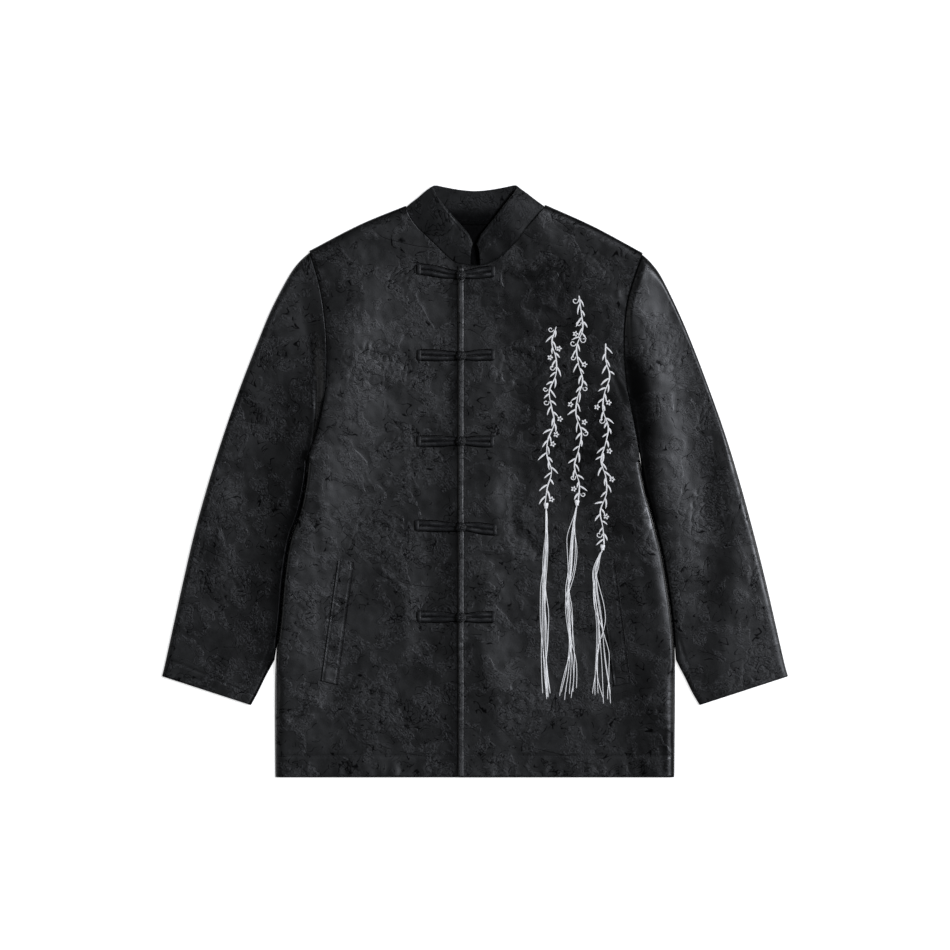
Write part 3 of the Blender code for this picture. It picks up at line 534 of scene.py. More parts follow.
def peony(cx, cy, r, lean, seed):
    """Scalloped rings of petals with short veins, some left open."""
    rng = np.random.default_rng(seed)
    lines = []
    for part, petals in ((0.3, 3), (0.64, 5), (1.0, 7)):
        for k in range(petals):
            a0 = lean + 360.0 / petals * (k + 0.3 * rng.uniform(-1, 1))
            a1 = a0 + 360.0 / petals * 1.12
            t = np.linspace(0.0, 1.0, 26)
            turn = np.radians(a0 + (a1 - a0) * t)
            rr = r * part * (0.80 + 0.26 * np.sin(math.pi * t) ** 0.7
                             + 0.04 * np.sin(5 * math.pi * t + k))
            lines.append(polar(cx, cy, rr, turn, 0.86))
            for vein in (0.3, 0.45, 0.6):
                if rng.uniform() < 0.5 and part * r > 20.0:
                    turn0 = math.radians(a0 + (a1 - a0) * vein)
                    r0, r1 = r * part * 0.72, r * part * 0.95
                    q = np.linspace(0.0, 1.0, 8)
                    rr = r0 + (r1 - r0) * q
                    bend = turn0 + 0.12 * np.sin(q * 3.0)
                    lines.append(polar(cx, cy, rr, bend, 0.86))
    return lines


def leaf(x0, y0, turn, length, width, bend, seed):
    """A toothed leaf with a midrib and side veins."""
    rng = np.random.default_rng(seed)
    t = np.linspace(0.0, 1.0, 36)
    heading = math.radians(turn) + bend * t
    step = length / 35
    mid = np.stack([x0 + np.cumsum(np.cos(heading)) * step,
                    y0 + np.cumsum(np.sin(heading)) * step], axis=1)
    side = np.stack([-np.sin(heading), np.cos(heading)], axis=1)
    half = width * 0.5 * np.sin(math.pi * t ** 0.8) ** 0.9
    teeth = 1.0 + 0.16 * np.sin(t * 34.0)
    lines = [mid, mid + side * (half * teeth)[:, None], mid - side * (half * teeth)[:, None]]
    for k in range(7, 30, 8):
        for way in (-1.0, 1.0):
            if rng.uniform() < 0.6:
                q = np.linspace(0.0, 0.85, 7)[:, None]
                ahead = mid[min(35, k + 3)] - mid[k]
                lines.append(mid[k] + (side[k] * half[k] * way + ahead) * q)
    return lines


def scroll(cx, cy, r, lean, way):
    """A curl that winds inwards."""
    t = np.linspace(0.0, 1.0, 40)
    turn = math.radians(lean) + way * t * 8.2
    rr = r * (1.0 - 0.82 * t)
    return [polar(cx, cy, rr, turn, 0.8)]


def chart_lines():
    """Drawn lines of one repeat: peonies, leaf fans, scrolls and stems."""
    lines = []
    for seed, entry in enumerate(CHART_PEONIES, start=1):
        lines += peony(*entry, seed)
    for seed, entry in enumerate(CHART_LEAVES, start=4):
        lines += leaf(*entry, seed)
    for entry in CHART_SCROLLS:
        lines += scroll(*entry)
    for points in CHART_STEMS:
        lines.append(catmull(points))
    return lines


def chart_tree():
    """Search tree over the drawn lines of one repeat and its neighbours."""
    spots = []
    for line in chart_lines():
        p = at_fractions(line, np.linspace(0.0, 1.0, max(2, int(run_length(line) / 0.5))))
        spots.append(np.stack([p[:, 0] % REPEAT_W, p[:, 1] % REPEAT_H], axis=1))
    spots = np.vstack(spots)
    tiled = []
    for sx in (-REPEAT_W, 0.0, REPEAT_W):
        for sy in (-REPEAT_H, 0.0, REPEAT_H):
            moved = spots + (sx, sy)
            near = (moved > -12) & (moved < (REPEAT_W + 12, REPEAT_H + 12))
            tiled.append(moved[near.all(axis=1)])
    tiled = np.vstack(tiled)
    tree = KDTree(len(tiled))
    for k, (x, y) in enumerate(tiled):
        tree.insert((x, y, 0.0), k)
    tree.balance()
    return tree


# broad patches where the roughness is lowered (-) or raised (+), the lowest ones also darkened in
# colour as painted shade: x, y, reach x, reach y, amount
FRONT_LUSTRE_AND_SHADE = [
    (118, 140, 98, 190, -0.042), (186, 15, 62, 105, -0.045),
    (236, -330, 44, 130, -0.035), (24, 268, 30, 80, -0.055),
    (100, 255, 26, 42, -0.035), (74, 272, 30, 9, -0.05),
    (190, 246, 10, 15, 0.16), (60, -52, 44, 44, -0.035),
    (-178, 10, 34, 105, 0.05), (-36, -245, 18, 85, 0.05),
    (-59, 240, 24, 42, 0.035), (-33, 288, 18, 14, 0.09),
    (-34, 190, 16, 40, 0.06), (233, -30, 9, 70, -0.07),
    (257, -362, 11, 42, -0.1),
]
SLEEVE_LUSTRE_AND_SHADE = [
    (265, -10, 36, 140, 0.03), (322, -235, 66, 50, 0.035),
    (-376, -117, 28, 44, 0.04), (-270, -224, 24, 34, -0.04),
    (-281, 140, 28, 52, 0.055), (-219, 240, 20, 82, 0.11),
]
# how far the left sleeve is in the body's shade, by height: y, reach
LEFT_SHADE = ((-70, -38, 1, 41, 80, 107, 133, 152, 170, 184),
              (4, 9, 18, 24, 34, 44, 44, 34, 12, 2))
COLLAR_LUSTRE_AND_SHADE = [
    (-40, 307, 26, 24, 0.16), (32, 308, 30, 34, -0.09),
    (60, 364, 30, 30, 0.12),
]


def patches(x, y, table):
    """Sum of the broad patches at each point."""
    total = np.zeros(np.shape(x))
    for cx, cy, rx, ry, amount in table:
        total += amount * fade(0.45, 1.15, np.hypot((x - cx) / rx, (y - cy) / ry))
    return total


def shade(fields, x, y, dark, table):
    """Add the roughness patches, and the dark places: seam lines and painted shade, together with
    painted shade in the patches of lowest roughness.
    """
    fields["lustre"] = patches(x, y, table)
    # painted shade: the patches of lowest roughness are also darkened in colour, through the seam
    # field
    fields["seam"] = np.maximum(dark, np.clip(-5.5 * fields["lustre"], 0.0, 0.4))


CHART = chart_tree()
MOTIFS = ((58, 150, 42), (152, 52, 33), (168, 168, 19), (118, 140, 26), (98, 50, 26))


def chart_at(u, v, share=1.0):
    """Vector to the nearest drawn line with its length, and how far inside a motif."""
    u, v = u % REPEAT_W, v % REPEAT_H
    out = np.empty(u.shape + (3,))
    flat = out.reshape(-1, 3)
    for k, (a, b) in enumerate(zip(u.ravel().tolist(), v.ravel().tolist())):
        spot, _, gap = CHART.find((a, b, 0.0))
        flat[k] = (spot[0] - a, spot[1] - b, gap)
    fill = np.zeros(u.shape)
    for cx, cy, r in MOTIFS:
        dx = np.minimum(np.abs(u - cx), REPEAT_W - np.abs(u - cx))
        dy = np.minimum(np.abs(v - cy), REPEAT_H - np.abs(v - cy))
        fill = np.maximum(fill, fade(0.7, 1.15, np.hypot(dx, dy / 0.9) / r))
    return {"stroke": out, "figure": fill * share}


# ------------------------------------------------------------------------ mesh helpers
def new_object(name, verts, faces, mat, uv, attributes=None):
    """A smooth mesh object from millimetres, its faces outwards."""
    mesh = bpy.data.meshes.new(name)
    mesh.from_pydata((np.asarray(verts) * MM).tolist(), [], faces)
    layer = mesh.uv_layers.new(name="cloth")
    corner = np.empty(len(mesh.loops), dtype=np.int32)
    mesh.loops.foreach_get("vertex_index", corner)
    layer.data.foreach_set("uv", (np.asarray(uv)[corner] * MM).astype(np.float32).ravel())
    for key, values in (attributes or {}).items():
        values = np.asarray(values, dtype=np.float32)
        kind, field = ("FLOAT_VECTOR", "vector") if values.ndim > 1 else ("FLOAT", "value")
        mesh.attributes.new(key, kind, "POINT").data.foreach_set(field, values.ravel())
    bm = bmesh.new()
    bm.from_mesh(mesh)
    bmesh.ops.recalc_face_normals(bm, faces=bm.faces)
    bm.to_mesh(mesh)
    bm.free()
    mesh.polygons.foreach_set("use_smooth", [True] * len(mesh.polygons))
    mesh.materials.append(mat)
    obj = bpy.data.objects.new(name, mesh)
    bpy.context.scene.collection.objects.link(obj)
    return obj


def grid_faces(ids, ring, under=False):
    """Four-cornered faces over a grid of vertex numbers; a ring closes on itself."""
    wide = np.concatenate([ids, ids[:, :1]], axis=1) if ring else ids
    a, b = (wide[1:], wide[:-1]) if under else (wide[:-1], wide[1:])
    quads = np.stack([a[:, :-1], a[:, 1:], b[:, 1:], b[:, :-1]], axis=-1)
    return quads.reshape(-1, 4).tolist()


def ring_faces(rings, sides, closed=False):
    """Faces over a row of rings, with both ends shut unless the row is closed."""
    ids = np.arange(rings * sides).reshape(rings, sides)
    if closed:
        return grid_faces(np.vstack([ids, ids[:1]]), True)
    return grid_faces(ids, True) + [ids[0].tolist()[::-1], ids[-1].tolist()]


def cloth_wall(name, rows, normals, thick, mat, cloth_uv, attributes, ring=False, coarse=3):
    """A closed cloth wall: a fine face side, a coarse reverse and a rounded rim."""
    nj, ni = rows.shape[:2]
    pick_j = sorted(set(range(0, nj, coarse)) | {nj - 1})
    pick_i = sorted(set(range(0, ni, coarse)) | (set() if ring else {ni - 1}))
    rare = np.ix_(pick_j, pick_i)
    if ring:
        loops = [[(0, i) for i in range(ni)], [(nj - 1, i) for i in range(ni)]]
    else:
        loops = [[(0, i) for i in range(ni)] + [(j, ni - 1) for j in range(1, nj)]
                 + [(nj - 1, i) for i in range(ni - 2, -1, -1)]
                 + [(j, 0) for j in range(nj - 2, 0, -1)]]
    lean = np.zeros_like(rows)
    lean[0] += unit(rows[0] - rows[1])
    lean[-1] += unit(rows[-1] - rows[-2])
    if not ring:
        lean[:, 0] += unit(rows[:, 0] - rows[:, 1])
        lean[:, -1] += unit(rows[:, -1] - rows[:, -2])
    ids = np.arange(nj * ni).reshape(nj, ni)
    back_ids = nj * ni + np.arange(len(pick_j) * len(pick_i)).reshape(len(pick_j), -1)
    faces = grid_faces(ids, ring) + grid_faces(back_ids, ring, under=True)
    verts = [(rows + normals * thick * 0.5).reshape(-1, 3),
             (rows - normals * thick * 0.5)[rare].reshape(-1, 3)]
    fields = {"uv": cloth_uv, **attributes}
    spread = {key: [v.reshape((-1,) + v.shape[2:]), v[rare].reshape((-1,) + v.shape[2:])]
              for key, v in fields.items()}
    count = nj * ni + back_ids.size
    for loop in loops:
        jj, ii = np.array(loop).T
        verts.append(rows[jj, ii] + unit(lean[jj, ii]) * thick * RIM_BULGE)
        for key, values in fields.items():
            spread[key].append(values[jj, ii])
        n = len(loop)
        edge = list(range(count, count + n))
        count += n
        for k in range(n):
            m = (k + 1) % n
            faces.append([int(ids[loop[k]]), int(ids[loop[m]]), edge[m], edge[k]])
        marks = [k for k, (j, i) in enumerate(loop) if j in pick_j and i in pick_i]
        for k, start in enumerate(marks):
            stop = marks[(k + 1) % len(marks)]
            run = [edge[(start + step) % n] for step in range((stop - start) % n + 1)]
            for j, i in (loop[stop], loop[start]):
                run.append(int(back_ids[pick_j.index(j), pick_i.index(i)]))
            faces.append(run)
    spread = {key: np.concatenate(values) for key, values in spread.items()}
    return new_object(name, np.vstack(verts), faces, mat, spread.pop("uv"), spread)


def tree_of(obj):
    """Search tree of a finished piece, in millimetres."""
    verts = np.empty(len(obj.data.vertices) * 3, dtype=np.float32)
    obj.data.vertices.foreach_get("co", verts)
    verts = (verts.reshape(-1, 3) / MM).tolist()
    return BVHTree.FromPolygons(verts, [tuple(p.vertices) for p in obj.data.polygons])


def surface(names, x, y, reach=0.0):
    """Top of the named cloth at a place, or the highest of it within a small reach."""
    spots = [(0.0, 0.0)]
    if reach > 0.0:
        spots += [(reach, 0.0), (-reach, 0.0), (0.0, reach), (0.0, -reach)]
    hits = [TOPS[name].ray_cast(Vector((x + dx, y + dy, RAY_FROM)), Vector((0, 0, -1)))[0]
            for dx, dy in spots for name in names]
    return max([0.0] + [hit.z for hit in hits if hit is not None])


def tube(path, radius, sides=8, closed=False):
    """A round tube along a path, with its cloth coordinates."""
    p = np.asarray(path, dtype=float)
    r = radius + np.zeros(len(p))
    step = unit(np.roll(p, -1, 0) - np.roll(p, 1, 0)) if closed else headings(p)
    up = np.tile([0.0, 0.0, 1.0], (len(p), 1))
    up[np.abs(step[:, 2]) > 0.95] = (0.0, 1.0, 0.0)
    wide = unit(np.cross(step, up))
    high = np.cross(wide, step)
    turn = circle(sides)
    ring = (wide[:, None] * np.cos(turn)[None, :, None]
            + high[:, None] * np.sin(turn)[None, :, None])
    verts = (p[:, None] + ring * r[:, None, None]).reshape(-1, 3)
    around = np.arange(sides) / sides * 2 * math.pi * float(np.mean(radius))
    uv = np.stack([np.repeat(distances(p)[:, None], sides, 1),
                   np.repeat(around[None], len(p), 0)], axis=2)
    return verts, ring_faces(len(p), sides, closed), uv.reshape(-1, 2)


def merge(parts):
    """Join several (verts, faces, uv) into one."""
    faces, start = [], 0
    for verts, own, _ in parts:
        faces += [[i + start for i in face] for face in own]
        start += len(verts)
    return np.vstack([part[0] for part in parts]), faces, np.vstack([part[2] for part in parts])


def band(path, half, rise, sink=0.2, power=2.4, end=0.0, sides=9):
    """A low domed strip along a path of (x, y, z), with its cloth coordinates."""
    p = np.asarray(path, dtype=float)
    half, rise = half + np.zeros(len(p)), rise + np.zeros(len(p))
    step = headings(p[:, :2])
    wide = np.stack([-step[:, 1], step[:, 0]], axis=1)
    run = distances(p[:, :2])
    if end > 0.0:
        for d in (run, run[-1] - run):
            near = np.clip(1.0 - d / end, 0.0, 1.0)
            scale = np.sqrt(np.maximum(0.06, 1.0 - near * near))
            half *= scale
            rise *= scale
    a = -np.cos(np.linspace(0.0, math.pi, sides))
    dome = np.maximum(0.0, 1.0 - np.abs(a) ** power) ** (1.0 / power)
    a = np.concatenate([a, [0.92, -0.92]])
    dome = np.concatenate([dome, [0.0, 0.0]])
    low = np.concatenate([np.zeros(sides), [1.0, 1.0]])
    xy = p[:, None, :2] + wide[:, None] * (a[None, :] * half[:, None])[..., None]
    z = p[:, None, 2] + dome[None] * rise[:, None] - low[None] * sink
    verts = np.concatenate([xy, z[..., None]], axis=2).reshape(-1, 3)
    uv = np.stack([np.repeat(run[:, None], len(a), 1), a[None, :] * half[:, None]], axis=2)
    return verts, ring_faces(len(p), len(a)), uv.reshape(-1, 2)


# -------------------------------------------------------------------------- the cloth
def pucker(u, v, strength=1.0):
    """Relief of the charted weave and the fields that its shading reads."""
    fields = chart_at(u, v)
    gap, fill = fields["stroke"][..., 2], fields["figure"]
    rise = 0.10 * fill * smooth(0.6, 3.5, gap) - 0.05 * bell(gap, 1.2)
    rise = rise + (0.02 + 0.05 * fill) * ripple(u, v, 9.0, 41, 16)
    return rise * strength, fields


def front_runs(side):
    """The runs round one front, its folded ones set in by half the cloth."""
    sign, inset = side["sign"], CLOTH_T / 2
    shoulder = offset_run(catmull(side["shoulder"]), -sign * inset)
    edge = offset_run(catmull(side["side"]), sign * inset)
    armhole = catmull(side["armhole"]).copy()
    armhole[0], armhole[-1] = shoulder[-1], edge[0]
    neck = catmull(side["neck"])[::-1].copy()
    neck[-1] = shoulder[0]
    front = np.asarray(side["front"], dtype=float)[::-1]
    return shoulder, armhole, edge, neck, front


def front_height(x, y, gap, seam, sign):
    """Middle surface of one front, before its folded edges turn down."""
    if sign > 0:
        # it sinks under the lap, shows its own edge there, and dips in the armhole
        lap = -LAP_STEP * smooth(-150.0, -26.0, x) + 0.7 * bell(x + 22.5, 7.5)
        high = top_height(x, y) + lap - 0.6 * bell(seam, 2.2)
    else:
        # it climbs over the lap, and slopes down to the sleeve beside it
        high = top_height(x, y) + LAP_STEP * fade(8.0, 60.0, x)
        reach = 11.0 + 5.0 * smooth(-200.0, -150.0, y) + 8.0 * bell(y + 85.0, 45.0)
        slope = np.clip(1.0 - np.minimum(seam, gap) / reach, 0.0, 1.0) ** 2
        high = high - 0.014 * reach * slope * fade(90.0, 140.0, y)
    # small puckers by the armhole, the hem's stitch line, and waves along the hem
    high = high + 0.25 * ripple(y, 0.2 * x, 10.0, 61) * bell(seam - 4.0, 5.0)
    high = high - 0.35 * bell(y - HEM_STITCH_Y, 1.6)
    return high + 0.3 * ripple(x, 0.15 * y, 16.0, 63) * fade(6.0, 30.0, y - HEM_Y)


def front_seam_and_shade(x, y, gap, seam, sign):
    """Where one front is darker: its armhole seam line, painted shade along its folded edges, and
    on the right front a painted shadow beside the edge of the left front that laps over it.
    """
    # the right front: a painted shadow beside the lap, and painted shade along its shoulder edge
    if sign > 0:
        edge = np.maximum(0.6 * smooth(-29.0, -23.0, x),
                          0.65 * fade(0.8, 4.2, gap) * smooth(60.0, 120.0, y))
    else:
        # the left front: painted shade along its folded edges
        edge = 0.72 * fade(1.8, 6.5, gap)
    return np.maximum(bell(seam, 0.8), edge)


def make_front(name, side, mat, relief):
    """One front, domed down to the back along its side and its shoulder."""
    sign = side["sign"]
    shoulder, armhole, edge, neck, front = front_runs(side)
    neck_at, pit_at = 0.68, 0.56
    across = stations(230.0, FRONT_GRID[0], far=True)
    up = stations(650.0, FRONT_GRID[1], far=True, fixed=(neck_at, pit_at))
    inner = along([front, neck], [0.0, neck_at, 1.0], up)
    outer = along([edge[::-1], armhole[::-1]], [0.0, pit_at, 1.0], up)
    plan = coons(at_fractions([inner[0], outer[0]], across),
                 at_fractions(shoulder, across), inner, outer, across, up)
    x, y = plan[..., 0], plan[..., 1]
    gap, ox, oy = nearest(x, y, [(shoulder, sign), (edge, -sign)])
    seam = nearest(x, y, [(armhole, 1.0)])[0]
    bump, fields = pucker(x, y, relief)
    shade(fields, x, y, front_seam_and_shade(x, y, gap, seam, sign), FRONT_LUSTRE_AND_SHADE)
    beside_sleeve = smooth(-270.0, -240.0, y) * fade(60.0, 120.0, y)
    width = EDGE_ROUND - (EDGE_ROUND - EDGE_TIGHT) * beside_sleeve
    z, normals = rounded(front_height(x, y, gap, seam, sign), CLOTH_T + REST_GAP, gap,
                         ox, oy, width)
    rows = np.stack([x, y, z + bump * smooth(0.0, 7.0, gap)], axis=-1)
    obj = cloth_wall(name, rows, normals, CLOTH_T, mat, plan, fields)
    return obj, np.vstack([front, neck, shoulder, armhole, edge])


def make_back(name, mat):
    """The whole back, flat on the surface; it reaches a little under each sleeve."""
    across, up = [np.linspace(0.0, 1.0, count) for count in BACK_GRID]
    sides = [along([catmull(half["side"])[::-1], catmull(half["armhole"])[::-1]],
                   [0.0, 0.5, 1.0], up) for half in (RIGHT, LEFT)]
    top = along([catmull(RIGHT["shoulder"])[::-1], catmull(BACK_NECK),
                 catmull(LEFT["shoulder"])], [0.0, 2 / 7, 5 / 7, 1.0], across)
    bottom = at_fractions([sides[0][0], sides[1][0]], across)
    plan = coons(bottom, top, sides[0], sides[1], across, up)
    reach = smooth(-224.0, -214.0, plan[..., 1]) * fade(10.0, 20.0, plan[..., 1])
    reach = 1.05 * reach * smooth(0.90, 1.0, np.abs(2.0 * across - 1.0))[None, :]
    plan[..., 0] += reach * np.sign(across - 0.5)[None, :]
    rows = np.concatenate([plan, np.full(plan.shape[:2] + (1,), CLOTH_T / 2)], axis=2)
    obj = cloth_wall(name, rows, upwards(rows), CLOTH_T, mat, plan,
                     chart_at(plan[..., 0] + 40.0, plan[..., 1]), coarse=1)
    return obj, np.vstack([bottom, sides[1], top[::-1], sides[0][::-1]])


def make_seam_strip(name, run, height, half, mat):
    """Seam allowance: a thin strip under a seam, between the layers."""
    path = np.concatenate([run, np.full((len(run), 1), height)], axis=1)
    verts, faces, uv = band(path, half, 0.45, sink=0.05, power=6.0, sides=7)
    return new_object(name, verts, faces, mat, uv)


def sleeve_runs(side):
    """Outer run, inner run and armhole seam of a sleeve, clear of the body."""
    sign, inset = side["sign"], CLOTH_T / 2
    outer = offset_run(catmull(side["outer"]), sign * inset)
    clear = offset_run(catmull(side["side"]), -sign * (inset + SEAM_GAP + 0.5))
    inner = np.vstack([clear[clear[:, 1] > -226.0],
                       offset_run(catmull(side["under"]), -sign * inset)])
    gap = SEAM_GAP + 0.15
    seam = catmull(side["armhole"]).copy()
    seam[:, 0] -= sign * (gap + 1.0 * smooth(110.0, 30.0, seam[:, 1]))
    outer[0] += (-sign * gap, -inset)
    inner[0] = (inner[0, 0] - sign * (gap + 0.4), seam[-1, 1] - 1.0)
    seam[0], seam[-1] = outer[0], inner[0]
    return outer, inner, seam


def sleeve_rings(outer, inner, seam, steps):
    """Each ring's points, its shares of its width and its width; how many lie on top."""
    plan, shares, widths = [], [], []
    for step, o, n in zip(steps, at_fractions(outer, steps), at_fractions(inner, steps)):
        width = float(np.linalg.norm(o - n))
        top = stations(width, SLEEVE_GRID[0], near=True, far=True)
        ends = np.array([0.9, 3.0, 9.0])
        middle = 9.0 + (width - 18.0) * np.arange(1, 16) / 16
        w = np.concatenate([top, 1.0 - ends / width, 1.0 - middle / width, ends[::-1] / width])
        bow = at_fractions(seam, w) - (seam[0] + (seam[-1] - seam[0]) * w[:, None])
        plan.append(o + (n - o) * w[:, None] + bow * fade(0.0, 0.4, step))
        shares.append(w)
        widths.append(width)
    return np.array(plan), np.array(shares), np.array(widths)[:, None], len(top)


def sleeve_height(x, y, step, near, sign):
    """Middle surface of a sleeve's top layer, before its folded edges turn down."""
    lead = step * SLEEVE_LENGTH
    quick = smooth(110.0, 235.0, y) if sign < 0 else 0.0
    free = smooth(4.0 - 4.0 * quick, 46.0 - 34.0 * quick, lead)
    high = top_height(x, y, SLEEVE_RISE, SLEEVE_RIDGES) * free + top_height(x, y) * (1.0 - free)
    down = 0.55 * smooth(0.6, 1.0, step)
    high = high + (CUFF_RISE - high) * down
    high = high + 0.25 * ripple(x, y, 42.0, 71) * down
    if sign < 0:
        # a full sleeve head, a dip at its seam, and a flat place low on the armhole
        full = 2.0 * smooth(0.0, 2.5, near) * np.exp(-near / 14.0)
        high = high + full * smooth(140.0, 185.0, y)
        high = high - 0.6 * bell(lead, 2.2)
        high = high - 1.6 * fade(0.0, 34.0, lead) * fade(90.0, 140.0, y)
    # small puckers by the armhole, and the cuff's stitch line
    high = high + 0.3 * ripple(y, 0.2 * x, 10.0, 73) * bell(lead - 5.0, 6.0)
    return high - 0.3 * bell(SLEEVE_LENGTH - lead - CUFF_STITCH, 1.6)


def sleeve_seam_and_shade(y, lead, near, rim, sign):
    """Where a sleeve is dark: its seam line, and painted shade beside the body and along its
    outer edge.
    """
    if sign > 0:
        # painted shade beside the body; the seam line is widened low down with painted shade, and
        # the outer edge gets painted shade
        body_shade = fade(2.0, 22.0, near) * fade(50.0, 110.0, y)
        body_shade = body_shade * (0.6 + 0.22 * smooth(-110.0, -60.0, y)) * smooth(-262.0, -236.0, y)
        body_shade = np.maximum(body_shade, fade(2.0, 4.4, near) * (y < 110.0))
        sewn = bell(lead, 1.0 + 1.8 * fade(150.0, 230.0, y))
        edge = 0.5 * fade(0.8, 2.5, rim)
    else:
        # painted shade beside the body, as far as the table says, and along the outer edge
        wide = np.interp(y, *LEFT_SHADE)
        body_shade = 0.8 * fade(0.3 * wide, wide, near)
        body_shade = body_shade * smooth(-75.0, -45.0, y) * fade(155.0, 182.0, y)
        sewn = bell(lead, 1.0)
        edge = (0.55 + 0.2 * smooth(0.0, 70.0, y)) * fade(1.4, 5.5, rim)
    return np.maximum(np.maximum(sewn, body_shade), edge)


def make_sleeve(name, side, mat, relief):
    """A flattened tube; its rings run round the top layer, then under."""
    sign = side["sign"]
    outer, inner, seam = sleeve_runs(side)
    step = np.linspace(0.0, 1.0, SLEEVE_GRID[1])
    plan, share, width, tops = sleeve_rings(outer, inner, seam, step)
    x, y = plan[..., 0], plan[..., 1]
    step = step[:, None]
    lead, rim = step * SLEEVE_LENGTH, share * width
    gap, ox, oy = nearest(x, y, [(outer, -sign), (inner, sign)])
    gap = np.minimum(gap, np.minimum(rim, (1.0 - share) * width))
    near = nearest(x, y, [(catmull(side["armhole"]), 1.0), (inner, 1.0)])[0]
    beside_body = (share > 0.5) & (y > -245.0)
    turn = np.where(beside_body, 1.6 if sign > 0 else 4.0,
                    6.0 if sign > 0 else 7.0 - 4.0 * smooth(0.0, 70.0, y))
    turn = EDGE_ROUND + (turn - EDGE_ROUND) * smooth(8.0, 52.0, lead)
    z, normals = rounded(sleeve_height(x, y, step, near, sign), SLEEVE_MID, gap, ox, oy, turn)
    z_low, n_low = rounded(np.full_like(x, CLOTH_T / 2), SLEEVE_MID, gap, ox, oy, EDGE_TIGHT)
    n_low[gap >= EDGE_TIGHT] = (0.0, 0.0, -1.0)
    lean = math.radians(SLEEVE_LEAN) * sign
    u = x * math.cos(lean) - y * math.sin(lean) + 31.0 * sign
    v = x * math.sin(lean) + y * math.cos(lean) + 57.0
    bump, fields = pucker(u, v, relief)
    shade(fields, x, y, sleeve_seam_and_shade(y, lead, near, rim, sign), SLEEVE_LUSTRE_AND_SHADE)
    z = z + bump * smooth(0.0, 7.0, gap)
    z[:, tops:], normals[:, tops:] = z_low[:, tops:], n_low[:, tops:]
    obj = cloth_wall(name, np.stack([x, y, z], axis=-1), normals, CLOTH_T, mat,
                     np.stack([u, v], axis=-1), fields, ring=True)
    return obj, np.vstack([outer, inner[::-1]])


def collar_marks():
    """Places round the collar, its seam drawn close to the necks of fronts and back."""
    gap = SEAM_GAP + 0.5
    back, right, left = (offset_run(catmull(BACK_NECK), gap + 0.9),
                         offset_run(catmull(RIGHT["neck"]), gap - 0.3),
                         offset_run(catmull(LEFT["neck"]), 0.3 - gap))
    marks = []
    for bx, by, bz, *top in at_fractions(catmull(COLLAR, 8), np.linspace(0.0, 1.0, 61)):
        seam = back if bz < 2.4 else (right if bx < 0.0 else left)
        if bz < 2.4 or bz > 4.9:
            away, ox, oy = nearest(np.array([bx]), np.array([by]), [(seam, 1.0)])
            if 0.05 < away[0] < 9.0:
                bx, by = bx + ox[0] * away[0], by + oy[0] * away[0]
        marks.append([bx, by, bz] + top)
    return catmull(marks, 6)


def make_collar(name, mat, relief):
    """Stand collar, flattened: two front halves above, the back half beneath."""
    marks = collar_marks()
    base, rim = marks[:, :3], marks[:, 3:]
    w = np.concatenate([np.linspace(0.0, 0.9, 26), np.linspace(0.92, 1.0, 6)])
    rows = base[None] + (rim - base)[None] * w[:, None, None]
    lengthwise = distances((base + rim) / 2)
    u = np.repeat(lengthwise[None], len(w), 0)
    v = np.repeat((w * COLLAR_HEIGHT)[:, None], len(lengthwise), 1)
    normals = unit(np.cross(np.gradient(rows, axis=1), np.gradient(rows, axis=0)))
    normals = normals * np.sign(normals[..., 2:3].mean())
    bump, fields = pucker(u + 60.0, v + 100.0, relief)
    # painted shade: the back half, lying low inside the neck, is darkened from its seam upwards
    inside = 0.92 * fade(0.12, 0.70, w)[:, None] * fade(1.8, 3.4, base[:, 2])
    shade(fields, rows[..., 0], rows[..., 1], inside, COLLAR_LUSTRE_AND_SHADE)
    # the halves swell, lie lower at the throat and stand up at the wearer's left
    low = fade(38.0, 64.0, np.abs(base[:, 0]))
    lift = smooth(50.0, 72.0, base[:, 0]) * fade(80.0, 90.0, base[:, 0])
    crown = 0.9 * np.sin(math.pi * w)[:, None] * smooth(4.0, 8.0, rows[..., 2])
    drop = np.where(base[:, 0] < 0.0, 3.4, 4.4)
    crown = crown - drop * low * w[:, None] ** 2 + 2.8 * lift * w[:, None]
    crown = crown - 0.6 * smooth(40.0, COLLAR_HEIGHT, v) ** 2
    seam_line = -0.2 * bell(v - 37.5, 0.9)
    extra = (bump + crown + seam_line + 0.25 * ripple(u, v, 26.0, 81))[..., None]
    rows = rows + normals * extra * (rows[..., 2] > 3.0)[..., None]
    obj = cloth_wall(name, rows, normals, COLLAR_T, mat, np.stack([u, v], axis=-1), fields,
                     coarse=1)
    return obj, lengthwise[-1]


# ------------------------------------------------------------------- frogs and edges
def on_cloth(names, xy, lift=0.0, reach=0.0):
    """Path points dropped on the named cloth."""
    return np.array([(x, y, surface(names, x, y, reach) + lift) for x, y in xy])


